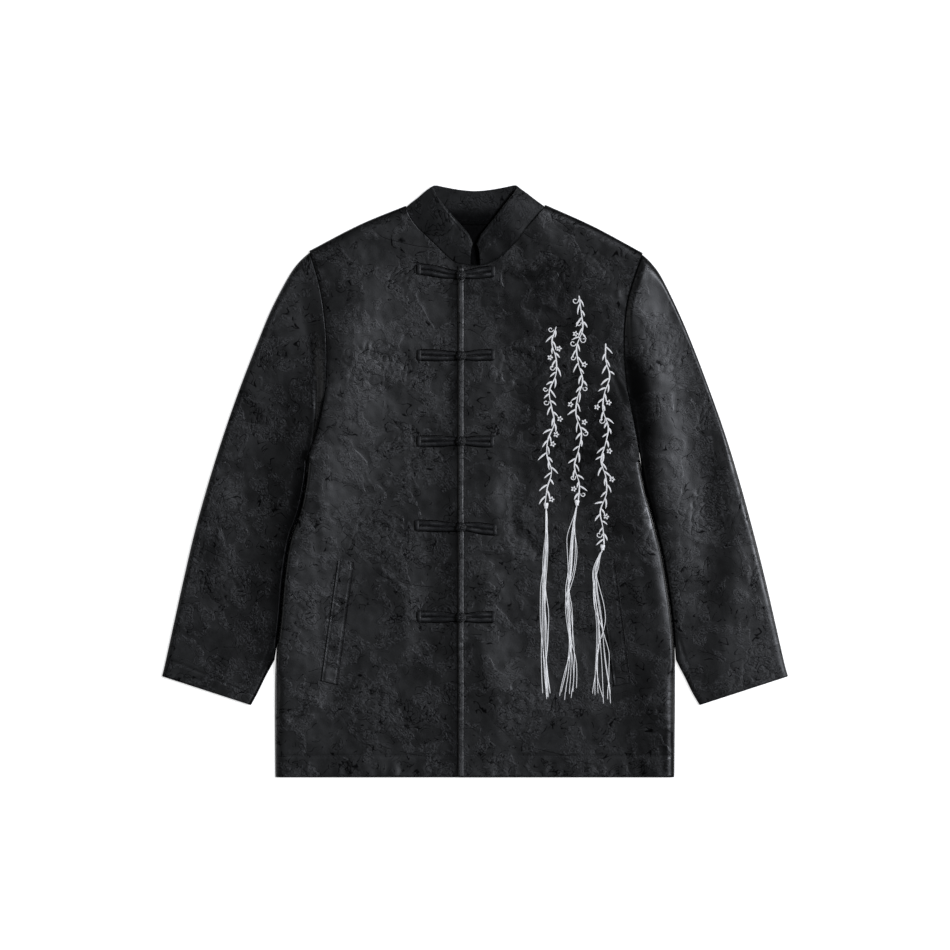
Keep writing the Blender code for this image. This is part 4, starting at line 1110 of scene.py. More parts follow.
def make_strap(name, names, x_out, y_out, x_in, y_in, mat, seed):
    """A frog strap: two folded strips side by side under a wrapped end tab, over a near-black
    strip that paints its shadow.
    """
    rng = np.random.default_rng(seed)
    sign = 1.0 if x_in > x_out else -1.0
    length = abs(x_in - x_out)
    t = np.linspace(0.0, 1.0, max(14, int(length / 1.1)))
    x = x_out + sign * (1.0 + (length - 1.0) * t)
    mid = y_out + (y_in - y_out) * smooth(0.0, 1.0, t)
    parts = []
    under = on_cloth(names, zip(x, mid), REST_GAP * 0.4, 1.0)
    # painted shadow: a near-black strip a little wider than the straps, showing as a dark outline
    shadow_strip = band(under, 8.1 - 2.0 * smooth(0.45, 1.0, t), 0.55, sink=0.2, power=5.0,
                   end=1.0, sides=7)
    for way in (1.0, -1.0):
        spread = 3.55 - 1.3 * smooth(0.45, 1.0, t) + 0.25 * np.sin(5.0 * t + rng.uniform(0, 6))
        path = on_cloth(names, zip(x, mid + way * spread), REST_GAP * 0.5, 1.0)
        path[:, 2] += 0.25 * np.sin(9.0 * t + rng.uniform(0, 6)) + 0.2
        half = 3.05 - 0.75 * smooth(0.5, 1.0, t) + 0.12 * np.sin(13.0 * t + way)
        high = STRAP_RISE * (0.95 + 0.10 * np.sin(11.0 * t + rng.uniform(0, 6)))
        parts.append(band(path, half, high, sink=0.6, power=2.6, end=1.6, sides=13))
        crease = path.copy()
        crease[:, 1] += way * 0.4 * half
        crease[:, 2] += high * 0.9
        parts.append(band(crease[2:-2], 0.5, 0.35, sink=0.5, end=3.0, sides=5))
    tab_y = np.linspace(-STRAP_HALF * 1.08, STRAP_HALF * 1.08, 17)
    lean = rng.uniform(-0.4, 0.4)
    tab_x = x_out + sign * 2.9 + lean * tab_y / STRAP_HALF
    path = on_cloth(names, zip(tab_x, y_out + tab_y), REST_GAP * 0.5, 1.0)
    path[:, 2] += 0.9 * np.clip(1.0 - (np.abs(tab_y) / (STRAP_HALF * 1.1)) ** 4, 0, 1)
    parts.append(band(path, 2.75, STRAP_RISE * 0.95, sink=1.2, power=3.6, end=1.4, sides=13))
    verts, faces, uv = merge(parts + [shadow_strip])
    obj = new_object(name, verts, faces, mat, uv)
    obj.data.materials.append(material("lining_satin"))
    for face in obj.data.polygons[len(faces) - len(shadow_strip[1]):]:
        face.material_index = 1
    return obj


def make_knot(name, x, y, base, mat, seed):
    """A woven ball knot over its loop."""
    rng = np.random.default_rng(seed)
    rise = KNOT_R * KNOT_FLAT
    turn = rng.uniform(-0.4, 0.4) + 0.5
    t = circle(48)
    a = circle(20)
    tilts = [math.pi * j / 10 for j in range(1, 10)]
    core = np.vstack([np.stack([KNOT_CORE * math.sin(tilt) * np.cos(a),
                                KNOT_CORE * math.sin(tilt) * np.sin(a),
                                np.full(20, -KNOT_CORE * math.cos(tilt))], axis=1)
                      for tilt in tilts])
    parts = [(core, ring_faces(len(tilts), len(a)), core[:, :2])]
    for k, offset in enumerate((-2.15, 0.0, 2.15)):
        for axis in (0, 1):
            reach = math.sqrt(4.9 ** 2 - offset ** 2)
            over = 0.55 * np.sin(t * 4.0 + math.pi * (k + axis)) + 0.2
            r = reach + over
            p = np.zeros((len(t), 3))
            p[:, axis] = r * np.cos(t)
            p[:, 1 - axis] = offset * (1.0 + 0.05 * np.cos(2 * t))
            p[:, 2] = r * np.sin(t)
            parts.append(tube(p, 1.28 + 0.08 * np.sin(3 * t + k), 9, closed=True))
    verts, faces, uv = merge(parts)
    c, s = math.cos(turn), math.sin(turn)
    px = verts[:, 0] * c - verts[:, 1] * s
    py = verts[:, 0] * s + verts[:, 1] * c
    shaped = np.stack([x + px, y + py, base + rise + verts[:, 2] * KNOT_FLAT * 1.02], axis=1)
    a = circle(40)
    ring = np.stack([x + 5.9 * np.cos(a), y + 5.6 * np.sin(a), np.full(40, base + 1.2)], axis=1)
    loop = tube(ring, 1.1, 8, closed=True)
    verts, faces, uv = merge([(shaped, faces, uv), loop])
    return new_object(name, verts, faces, mat, uv)


def make_edge_roll(name, names, mat):
    """The rolled front edge down the overlapping front, a little twisted."""
    y = np.linspace(281.5, HEM_Y + 0.6, 460)
    x = EDGE_ROLL_X + 0.35 * ripple(y, 0.0 * y, 90.0, 91)
    path = on_cloth(names, zip(x, y), REST_GAP * 0.6, 1.0)
    half = EDGE_ROLL_W / 2 * (1.0 + 0.05 * ripple(y, 0.0 * y, 22.0, 92))
    rise = EDGE_ROLL_RISE * (0.95 + 0.10 * ripple(y, 0.0 * y, 13.0, 93))
    verts, faces, uv = band(path, half, rise, sink=0.5, power=5.0, sides=17)
    verts = verts.reshape(len(y), -1, 3)
    side = (verts[..., 0] - x[:, None]) / half[:, None]
    top = smooth(0.0, 0.5, verts[..., 2] - path[:, None, 2])
    verts[..., 2] -= 0.25 * top * (1.0 + side)
    verts = verts.reshape(-1, 3)
    return new_object(name, verts, faces, mat, uv,
                      chart_at(verts[:, 0] + 90.0, verts[:, 1], 0.4))


def make_welt(name, names, corners, mat, seed):
    """A pocket welt: one folded strip laid on the front, with an inset stitch line."""
    top_out, top_in, low_in, low_out = [np.array(c) for c in corners]
    v = np.linspace(0.0, 1.0, 116)
    u = 0.5 - 0.5 * np.cos(np.linspace(0.0, math.pi, 19))
    a = top_out + (low_out - top_out) * v[:, None]
    b = top_in + (low_in - top_in) * v[:, None]
    plan = a[:, None] + (b - a)[:, None] * u[None, :, None]
    x, y = plan[..., 0], plan[..., 1]
    z = on_cloth(names, plan.reshape(-1, 2))[:, 2].reshape(x.shape) + REST_GAP + WELT_T * 0.5
    length = float(np.linalg.norm(low_out - top_out))
    cross = 0.16 * ripple(v[:, None] * length, u[None] * 4.0, 17.0, seed)
    cross = cross + 0.10 * ripple(v[:, None] * length, u[None] * 9.0, 8.0, seed + 1)
    edge = 22.0 * np.minimum(u, 1.0 - u)[None]
    z = z + cross * smooth(0.0, 4.0, edge)
    z = z - 0.30 * bell(edge - 2.8, 0.55)
    rows = np.stack([x, y, z], axis=-1)
    fields = chart_at(x + 90.0, y)
    # dark rim round the welt: partly its joint with the front, partly painted shadow at its edges
    fields["seam"] = 0.85 * fade(0.3, 1.8, edge + 0.0 * x)
    obj = cloth_wall(name, rows, upwards(rows), WELT_T * 0.9, mat, plan, fields, coarse=1)
    return obj, np.vstack([top_out, top_in, low_in, low_out])


# ----------------------------------------------------------------------- node helpers
def node(tree, kind, **settings):
    """A new node with its settings."""
    made = tree.nodes.new(kind)
    for key, value in settings.items():
        setattr(made, key, value)
    return made


def put(tree, target, **values):
    """Set or link inputs of a node, by name or as i0, i1 and so on by number."""
    for key, value in values.items():
        numbered = key[0] == "i" and key[1:].isdigit()
        socket = target.inputs[int(key[1:]) if numbered else key.replace("_", " ")]
        if isinstance(value, bpy.types.NodeSocket):
            tree.links.new(value, socket)
        else:
            socket.default_value = value
    return target


def maths(tree, operation, a, b, c=None):
    """Output of one arithmetic node."""
    made = put(tree, node(tree, "ShaderNodeMath", operation=operation), i0=a, i1=b)
    if c is not None:
        put(tree, made, i2=c)
    return made.outputs[0]


def new_group(name, kind, inputs, outputs):
    """A node group with its sockets, its input node and its output node."""
    group = bpy.data.node_groups.new(name, kind)
    for label, socket_type, value in inputs:
        socket = group.interface.new_socket(label, in_out="INPUT", socket_type=socket_type)
        if value is not None:
            socket.default_value = value
    for label, socket_type in outputs:
        group.interface.new_socket(label, in_out="OUTPUT", socket_type=socket_type)
    return group, node(group, "NodeGroupInput").outputs, node(group, "NodeGroupOutput")


def ramp(tree, value, low, high, to_low=0.0, to_high=1.0):
    """A value carried softly from one range to another."""
    made = node(tree, "ShaderNodeMapRange", interpolation_type="SMOOTHSTEP")
    return put(tree, made, i0=value, i1=low, i2=high, i3=to_low, i4=to_high).outputs[0]


def mix_colour(tree, share, a, b):
    """Colour a, turning to b with the share."""
    made = node(tree, "ShaderNodeMix", data_type="RGBA")
    return put(tree, made, i0=share, i6=a, i7=b).outputs[2]


def mix_value(tree, share, a, b):
    """Value a, turning to b with the share."""
    made = node(tree, "ShaderNodeMix", data_type="FLOAT")
    return put(tree, made, i0=share, i2=a, i3=b).outputs[0]


def noise(tree, where, scale, detail=2.0, roughness=0.5):
    """Soft noise at a place."""
    made = node(tree, "ShaderNodeTexNoise")
    return put(tree, made, Vector=where, Scale=scale, Detail=detail,
               Roughness=roughness).outputs["Fac"]


def wave(tree, where, way, scale, distortion, **more):
    """Parallel soft lines at a place."""
    made = node(tree, "ShaderNodeTexWave", wave_type="BANDS", bands_direction=way)
    more = {"Detail": 1.0, **more}
    return put(tree, made, Vector=where, Scale=scale, Distortion=distortion,
               **more).outputs["Fac"]


def shifted(tree, where, scale, amount):
    """A place moved about softly, so that what is drawn on it bends."""
    soft = put(tree, node(tree, "ShaderNodeTexNoise"), Vector=where, Scale=scale, Detail=1.0)
    moved = node(tree, "ShaderNodeVectorMath", operation="MULTIPLY_ADD")
    return put(tree, moved, i0=soft.outputs["Color"], i1=(amount, amount, 0.0),
               i2=where).outputs[0]


def turned(tree, where, degrees, kind="POINT", scale=(1.0, 1.0, 1.0)):
    """A place turned in the plane of the cloth."""
    slant = node(tree, "ShaderNodeMapping", vector_type=kind)
    return put(tree, slant, Vector=where, Rotation=(0.0, 0.0, math.radians(degrees)),
               Scale=scale).outputs["Vector"]


def bumped(tree, height, strength, distance):
    """Normal of a relief."""
    made = node(tree, "ShaderNodeBump")
    return put(tree, made, Strength=strength, Distance=distance,
               Height=height).outputs["Normal"]


def contour(tree, field, level, thin):
    """Thin line where a field passes through a level."""
    gap = maths(tree, "ABSOLUTE", maths(tree, "SUBTRACT", field, level), 0.0)
    return ramp(tree, gap, thin * 0.35, thin, 1.0, 0.0)


# ------------------------------------------------------------ embroidery and threads
def sprig_strokes(x_top, y_top, x_low, y_low, seed):
    """A hanging sprig: wandering stem, slender leaves, curls and small blossoms."""
    rng = np.random.default_rng(seed)
    length = y_top - y_low
    knots = max(5, int(length / 21.0))
    stem = []
    for k in range(knots + 1):
        t = k / knots
        wander = 4.6 * math.sin(k * 1.9 + seed) * (0.4 if k in (0, knots) else 1.0)
        stem.append((x_top + (x_low - x_top) * t + wander, y_top + (y_low - y_top) * t))
    stem = catmull(stem, 12)
    total = run_length(stem)
    n = int(total / 1.5)
    stem = at_fractions(stem, np.linspace(0.0, 1.0, n))
    t = np.linspace(0.0, 1.0, n)
    strokes = [(stem, 0.62 + 0.38 * np.sin(t * 23.0 + seed) ** 2, 0.55)]
    heading = np.unwrap(np.arctan2(np.gradient(stem[:, 1]), np.gradient(stem[:, 0])))
    place, way = 5.0, 1.0
    while place < total - 4.0:
        k = int(place / total * (n - 1))
        turn = heading[k] + way * math.radians(rng.uniform(30.0, 62.0))
        size = rng.uniform(9.0, 16.0)
        bend = -way * rng.uniform(0.2, 0.8)
        q = np.linspace(0.0, 1.0, 11)
        angle = turn + bend * q
        step = size / 10
        walk = np.stack([np.cos(angle), np.sin(angle)], axis=1)
        leaf_path = stem[k] + np.vstack([[0.0, 0.0], np.cumsum(walk[:-1], axis=0)]) * step
        wide = 0.28 + rng.uniform(0.7, 1.1) * np.sin(math.pi * q ** 0.75) ** 0.9
        strokes.append((leaf_path, wide, 0.6))
        kind = rng.uniform()
        if kind < 0.20:
            q = np.linspace(0.0, 1.0, 26)
            turn0 = heading[k] - way * 1.3
            r = rng.uniform(3.2, 4.6) * (1.0 - 0.72 * q)
            spin = turn0 - way * q * 6.2
            cx = stem[k, 0] + 6.0 * math.cos(turn0)
            cy = stem[k, 1] + 6.0 * math.sin(turn0)
            strokes.append((polar(cx, cy, r, spin + math.pi), 0.62, 0.45))
        elif kind < 0.40:
            turn0 = heading[k] - way * 1.1
            cx = stem[k, 0] + 8.5 * math.cos(turn0)
            cy = stem[k, 1] + 8.5 * math.sin(turn0)
            q = np.linspace(0.0, 1.0, 6)
            for petal in range(5):
                a = petal * 2 * math.pi / 5 + rng.uniform(-0.1, 0.1)
                reach = 0.8 + 3.3 * q
                strokes.append((polar(cx, cy, reach, a),
                                0.35 + 0.85 * np.sin(math.pi * q ** 0.8), 0.5))
        place += rng.uniform(6.2, 9.6)
        way = -way
    return strokes


def make_sprig(name, names, entry, mat):
    """One sprig in raised thread, dropped on the named cloth."""
    parts = []
    for path, half, rise in sprig_strokes(*entry):
        points = on_cloth(names, path, 0.02)
        parts.append(band(points, half, rise, sink=0.35, power=2.2, end=0.6, sides=7))
    verts, faces, uv = merge(parts)
    return new_object(name, verts, faces, mat, uv)


def make_tassel(name, names, sections, mat, seed, strands, radius):
    """Loose round threads from a whipped head, some of them straying."""
    rng = np.random.default_rng(seed)
    parts = []
    ys = np.array([s[0] for s in sections])
    root_x, root_y = sections[0][2], sections[0][0]
    layers = 3
    for k in range(strands):
        f = (k + 0.5) / strands + rng.uniform(-0.03, 0.03)
        g = f + rng.uniform(-0.12, 0.12) if rng.uniform() < 0.7 else rng.uniform(0.0, 1.0)
        y = np.arange(root_y, ys[-1] - rng.uniform(-9.0, 11.0), -2.6)
        t = np.clip((root_y - y) / (root_y - ys[-1]), 0.0, 1.0)
        share = 0.5 + ((f - 0.5) * (0.6 + 0.4 * smooth(0.55, 1.0, t))
                       + (g - f) * smooth(0.3, 0.95, t))
        low, mid, high = [np.interp(-y, -ys, [s[c] for s in sections]) for c in (1, 2, 3)]
        x = np.where(share < 0.5, low + (mid - low) * share * 2.0,
                     mid + (high - mid) * (share - 0.5) * 2.0)
        x = np.convolve(np.pad(x, 4, mode="edge"), np.ones(9) / 9, mode="valid")
        x[0:3] = root_x + (x[0:3] - root_x) * 0.5
        stray = k % 3 == 1
        sway = (rng.uniform(3.0, 5.6) if stray else rng.uniform(0.3, 0.9)) * smooth(0.0, 0.2, t)
        x = x + sway * np.sin(t * rng.uniform(5.0, 11.0) + rng.uniform(0, 6.28))
        x = x + 0.08 * sway * np.sin(t * rng.uniform(20.0, 34.0) + rng.uniform(0, 6.28))
        layer = (k * 2 + int(seed)) % layers
        path = on_cloth(names, zip(x, y), reach=0.9)
        path[:, 2] += radius + 0.08 + layer * radius * 1.5 * (1.0 - 0.6 * smooth(0.2, 1.0, t))
        parts.append(tube(path, radius, 6))
    head = []
    for k in range(7):
        a = circle(20)
        base = surface(names, root_x, root_y + 1.0, 3.0)
        yy = root_y + 3.6 - k * 1.05
        wide = 2.2 + 0.5 * math.sin(k * 0.9)
        ring = np.stack([root_x + wide * np.cos(a), yy + 0.15 * np.cos(2 * a),
                         base + 1.5 + 1.25 * np.sin(a)], axis=1)
        head.append(tube(ring, 0.62, 6, closed=True))
    verts, faces, uv = merge(parts + head)
    return new_object(name, verts, faces, mat, uv)


def stitch_tree(name):
    """Instances of one short thread along the input curve, as real geometry."""
    solid, value = "NodeSocketGeometry", "NodeSocketFloat"
    tree, given, out = new_group(name, "GeometryNodeTree", [
        ("Geometry", solid, None), ("Pitch", value, 0.0034), ("Stitch length", value, 0.0024),
        ("Thread radius", value, 0.0003), ("Wander", value, 0.12),
        ("Seed", "NodeSocketInt", 7), ("Thread", "NodeSocketMaterial", None)],
        [("Geometry", solid)])
    tree.is_modifier = True
    spread = put(tree, node(tree, "GeometryNodeCurveToPoints", mode="LENGTH"),
                 Curve=given["Geometry"], Length=given["Pitch"])
    ball = put(tree, node(tree, "GeometryNodeMeshUVSphere"), Segments=6, Rings=5, Radius=1.0)
    size = put(tree, node(tree, "ShaderNodeCombineXYZ"), X=given["Thread radius"],
               Y=given["Thread radius"], Z=maths(tree, "MULTIPLY", given["Stitch length"], 0.5))
    shape = put(tree, node(tree, "GeometryNodeTransform"), Geometry=ball.outputs["Mesh"],
                Scale=size.outputs["Vector"])
    wander = put(tree, node(tree, "FunctionNodeRandomValue", data_type="FLOAT_VECTOR"),
                 i0=maths(tree, "MULTIPLY", given["Wander"], -1.0), i1=given["Wander"],
                 Seed=given["Seed"])
    turn = put(tree, node(tree, "FunctionNodeRotateRotation", rotation_space="LOCAL"),
               i0=spread.outputs["Rotation"], i1=wander.outputs[0])
    place = put(tree, node(tree, "GeometryNodeInstanceOnPoints"),
                Points=spread.outputs["Points"], Instance=shape.outputs["Geometry"],
                Rotation=turn.outputs[0])
    real = put(tree, node(tree, "GeometryNodeRealizeInstances"),
               Geometry=place.outputs["Instances"])
    paint = put(tree, node(tree, "GeometryNodeSetMaterial"), Geometry=real.outputs["Geometry"],
                Material=given["Thread"])
    put(tree, out, Geometry=paint.outputs["Geometry"])
    return tree


def make_stitches(name, names, runs, pitch, mat, seed):
    """Rows of stitches along runs of (x, y), dropped on the named cloth."""
    curve = bpy.data.curves.new(name + "_run", "CURVE")
    curve.dimensions = "3D"
    for run in runs:
        run = at_fractions(run, np.linspace(0.0, 1.0, max(2, int(run_length(run) / 4.0))))
        points = on_cloth(names, run, STITCH_R * 0.5) * MM
        spline = curve.splines.new("POLY")
        spline.points.add(len(points) - 1)
        for spot, place in zip(spline.points, points):
            spot.co = (*place, 1.0)
    holder = bpy.data.objects.new(name + "_run", curve)
    bpy.context.scene.collection.objects.link(holder)
    tree = stitch_tree(name + "_nodes")
    live = holder.modifiers.new("stitches", "NODES")
    live.node_group = tree
    given = {"Pitch": pitch * MM, "Stitch length": STITCH_LENGTH * MM,
             "Thread radius": STITCH_R * MM, "Seed": seed, "Thread": mat}
    for item in tree.interface.items_tree:
        if item.item_type == "SOCKET" and item.in_out == "INPUT" and item.name in given:
            live[item.identifier] = given[item.name]
    holder.update_tag()
    bpy.context.view_layer.update()
    graph = bpy.context.evaluated_depsgraph_get()
    mesh = bpy.data.meshes.new_from_object(holder.evaluated_get(graph), depsgraph=graph)
    mesh.name = name
    obj = bpy.data.objects.new(name, mesh)
    bpy.context.scene.collection.objects.link(obj)
    holder.modifiers.remove(live)
    bpy.data.objects.remove(holder)
    if not mesh.materials:
        mesh.materials.append(mat)
    mesh.polygons.foreach_set("use_smooth", [True] * len(mesh.polygons))
    return obj


# -------------------------------------------------------------------------- materials
def stroke_field(tree, where):
    """Short fine strokes, bent a little, whose direction changes from patch to patch."""
    bend = shifted(tree, where, 210.0, 0.0052)
    fields = [noise(tree, turned(tree, bend, turn, "TEXTURE", (3.0, 1.0, 1.0)), 620.0, 2.0, 0.6)
              for turn in (14.0, 76.0, -46.0)]
    pick = noise(tree, where, 52.0, 1.0)
    strokes = mix_value(tree, ramp(tree, pick, 0.44, 0.47), fields[0], fields[1])
    strokes = mix_value(tree, ramp(tree, pick, 0.53, 0.56), strokes, fields[2])
    arcs = wave(tree, bend, "DIAGONAL", 120.0, 14.0, Detail=2.5, Detail_Scale=0.9,
                Detail_Roughness=0.6)
    return mix_value(tree, ramp(tree, noise(tree, where, 88.0, 1.0), 0.40, 0.60, 0.0, 0.85),
                     strokes, maths(tree, "MULTIPLY_ADD", arcs, 0.22, 0.39))


def jacquard_group():
    """Woven satin: smooth patches, patches of fine brushed strokes and thin dark lines."""
    colour, value, vector = "NodeSocketColor", "NodeSocketFloat", "NodeSocketVector"
    tree, given, out = new_group("jacquard_weave", "ShaderNodeTree", [
        ("Where", vector, None), ("Stroke", vector, None), ("Figure", value, 0.0),
        ("Seam", value, 0.0), ("Lustre", value, 0.0),
        ("Ground", colour, (0.009, 0.009, 0.010, 1.0)),
        ("Figure colour", colour, (0.006, 0.006, 0.007, 1.0)),
        ("Outline", colour, (0.002, 0.002, 0.0024, 1.0)),
        ("Glint", colour, (0.034, 0.035, 0.037, 1.0)),
        ("Ground gloss", value, 0.34), ("Figure gloss", value, 0.42)],
        [("Colour", colour), ("Roughness", value), ("Metallic", value), ("Height", value)])
    where = given["Where"]
    # drawn lines: the vector to a line passes through nought exactly on it
    dx, dy, far = put(tree, node(tree, "ShaderNodeSeparateXYZ"), Vector=given["Stroke"]).outputs
    near = maths(tree, "SQRT", maths(tree, "ADD", maths(tree, "MULTIPLY", dx, dx),
                                     maths(tree, "MULTIPLY", dy, dy)), 0.0)
    near = maths(tree, "MAXIMUM", near, maths(tree, "SUBTRACT", far, 1.2))
    ragged = noise(tree, where, 480.0, 2.0, 0.6)
    reach = ramp(tree, noise(tree, where, 62.0, 2.0), 0.42, 0.52, -0.26, 0.15)
    reach = maths(tree, "MULTIPLY_ADD", ragged, 0.4, reach)
    drawn = ramp(tree, maths(tree, "SUBTRACT", reach, near), -0.25, 0.25)
    # patches of smooth and brushed weave, outlined where they meet
    patch = put(tree, node(tree, "ShaderNodeTexNoise"), Scale=30.0, Detail=1.5, Roughness=0.45,
                Distortion=0.9, Vector=shifted(tree, where, 60.0, 0.012)).outputs["Fac"]
    field = maths(tree, "MULTIPLY_ADD", given["Figure"], 0.06, patch)
    brushed = ramp(tree, field, 0.48, 0.55)
    rims = contour(tree, field, 0.50, 0.0070)
    for level in (0.57, 0.43):
        rims = maths(tree, "MAXIMUM", rims, contour(tree, field, level, 0.0070))
    rims = maths(tree, "MULTIPLY", rims, ramp(tree, noise(tree, where, 75.0, 2.0), 0.46, 0.58))
    # fine strokes, dark and light side by side where the weave is brushed
    brush = stroke_field(tree, where)
    tufts = ramp(tree, noise(tree, where, 95.0, 2.0), 0.36, 0.56, 0.35, 1.0)
    share = maths(tree, "MULTIPLY_ADD", brushed, maths(tree, "MULTIPLY", tufts, 0.9), 0.06)
    wisp = maths(tree, "MULTIPLY", ramp(tree, brush, 0.40, 0.47, 1.0, 0.0), share)
    glint = maths(tree, "MULTIPLY", ramp(tree, brush, 0.51, 0.58), share)
    line = maths(tree, "MAXIMUM", maths(tree, "MAXIMUM", drawn, rims),
                 maths(tree, "MULTIPLY", wisp, 0.5))
    # the Seam input holds seam lines and also painted shade: along edges, beside the body, inside
    # the neck, round the welts and in patches of lowest roughness
    line = maths(tree, "MAXIMUM", line, given["Seam"])
    # colour
    mottled = noise(tree, where, 34.0, 3.0, 0.55)
    cloudy = noise(tree, where, 9.0, 2.0, 0.5)
    base = mix_colour(tree, brushed, given["Ground"], given["Figure colour"])
    cloudy_base = put(tree, node(tree, "ShaderNodeVectorMath", operation="SCALE"), i0=base,
                      Scale=ramp(tree, mottled, 0.32, 0.68, 0.75, 1.25)).outputs[0]
    done = mix_colour(tree, glint, cloudy_base, given["Glint"])
    done = mix_colour(tree, line, done, given["Outline"])
    # gloss
    grain = maths(tree, "SUBTRACT", noise(tree, where, 640.0, 2.0, 0.7), 0.5)
    rough = mix_value(tree, brushed, given["Ground gloss"], given["Figure gloss"])
    for field, amount in ((glint, 0.07), (grain, 0.16),
                          (maths(tree, "SUBTRACT", mottled, 0.5), 0.22),
                          (maths(tree, "SUBTRACT", cloudy, 0.5), 0.2)):
        rough = maths(tree, "MULTIPLY_ADD", field, amount, rough)
    rough = maths(tree, "ADD", rough, given["Lustre"])
    # relief
    weave = maths(tree, "MULTIPLY", wave(tree, where, "X", 420.0, 0.5),
                  wave(tree, where, "Y", 420.0, 0.5))
    height = maths(tree, "MULTIPLY", brush, maths(tree, "MULTIPLY_ADD", share, 0.22, 0.01))
    for field, amount in ((line, -0.03), (weave, 0.006), (grain, 0.07), (patch, 0.4)):
        height = maths(tree, "MULTIPLY_ADD", field, amount, height)
    put(tree, out, Colour=done, Roughness=maths(tree, "MAXIMUM", rough, 0.25),
        Metallic=maths(tree, "MULTIPLY", line, 0.85), Height=height)
    return tree


def base_material(name):
    """A new material, its tree and its shader."""
    mat = bpy.data.materials.new(name)
    mat.use_nodes = True
    tree = mat.node_tree
    return mat, tree, next(n for n in tree.nodes if n.type == "BSDF_PRINCIPLED")


def cloth_place(tree):
    """Place on the cloth, laid out flat."""
    return node(tree, "ShaderNodeUVMap", uv_map="cloth").outputs["UV"]


def cloth_material(name, ground, figure, gloss, level):
    """The woven cloth of the body and the collar."""
    mat, tree, shader = base_material(name)
    read = {key: node(tree, "ShaderNodeAttribute", attribute_name=key).outputs
            for key in ("stroke", "figure", "seam", "lustre")}
    weave = node(tree, "ShaderNodeGroup",
                 node_tree=bpy.data.node_groups.get("jacquard_weave") or jacquard_group())
    put(tree, weave, Where=cloth_place(tree), Stroke=read["stroke"]["Vector"],
        Figure=read["figure"]["Fac"], Seam=read["seam"]["Fac"], Lustre=read["lustre"]["Fac"],
        Ground=ground, Figure_colour=figure, Outline=(0.0018, 0.0018, 0.0021, 1.0),
        Ground_gloss=gloss[0], Figure_gloss=gloss[1])
    woven = weave.outputs
    put(tree, shader, Base_Color=woven["Colour"], Roughness=woven["Roughness"],
        Metallic=woven["Metallic"], Normal=bumped(tree, woven["Height"], 0.9, 0.001),
        Specular_IOR_Level=level, Sheen_Weight=0.02, Sheen_Roughness=0.45,
        Sheen_Tint=(0.72, 0.78, 0.9, 1.0))
    return mat


def satin_material(name, low, high, level, sheen):
    """Plain satin with fine slanted lines and soft folds, its colour darker in the hollows of the
    folds as painted shade.
    """
    mat, tree, shader = base_material(name)
    where = cloth_place(tree)
    lines = wave(tree, turned(tree, where, 38.0), "X", 240.0, 0.8)
    folds = noise(tree, where, 260.0, 3.0, 0.55)
    height = maths(tree, "ADD", maths(tree, "MULTIPLY", lines, 0.12),
                   maths(tree, "MULTIPLY", folds, 0.7))
    # painted shade: the colour follows the fold relief, darkest where the folds lie low
    put(tree, shader, Base_Color=mix_colour(tree, ramp(tree, folds, 0.3, 0.7), low, high),
        Normal=bumped(tree, height, 0.6, 0.0008),
        Roughness=ramp(tree, folds, 0.3, 0.7, 0.38, 0.52),
        Specular_IOR_Level=level, Sheen_Weight=sheen, Sheen_Roughness=0.4)
    return mat


def thread_material(name, ply_scale):
    """White plied thread: slanted ply lines, small shifts of tone, and a faint painted glow that
    makes it read whiter.
    """
    mat, tree, shader = base_material(name)
    where = cloth_place(tree)
    ply = wave(tree, turned(tree, where, 24.0), "X", ply_scale, 1.2)
    shift = noise(tree, where, 140.0, 2.0)
    share = maths(tree, "MULTIPLY_ADD", ply, 0.45, maths(tree, "MULTIPLY", shift, 0.6))
    tone = mix_colour(tree, ramp(tree, share, 0.15, 0.75), (0.84, 0.84, 0.85, 1.0),
                      (0.97, 0.97, 0.97, 1.0))
    # painted light: the faint emission makes the thread look brighter
    put(tree, shader, Base_Color=tone, Normal=bumped(tree, ply, 0.5, 0.0003),
        Roughness=ramp(tree, shift, 0.3, 0.7, 0.48, 0.66),
        Sheen_Weight=0.2, Sheen_Roughness=0.5, Emission_Color=(0.95, 0.97, 1.0, 1.0),
        Emission_Strength=0.16)
    return mat


def sewing_material(name, low, high):
    """Thin sewing thread, shaded by its place."""
    mat, tree, shader = base_material(name)
    shift = noise(tree, node(tree, "ShaderNodeTexCoord").outputs["Object"], 900.0, 3.0)
    put(tree, shader, Base_Color=mix_colour(tree, ramp(tree, shift, 0.3, 0.7), low, high),
        Normal=bumped(tree, shift, 0.5, 0.0002),
        Roughness=ramp(tree, shift, 0.3, 0.7, 0.5, 0.7))
    return mat


def floor_material(tone):
    """The even floor of the stage."""
    mat, tree, shader = base_material("studio_floor")
    soft = noise(tree, node(tree, "ShaderNodeTexCoord").outputs["Object"], 3.0, 2.0)
    low, high = [tuple(c * share for c in tone) + (1.0,) for share in (0.985, 1.0)]
    put(tree, shader, Base_Color=mix_colour(tree, ramp(tree, soft, 0.3, 0.7), low, high),
        Roughness=0.9, Specular_IOR_Level=0.1, Emission_Color=(1.0, 1.0, 1.0, 1.0),
        Emission_Strength=0.72)
    return mat


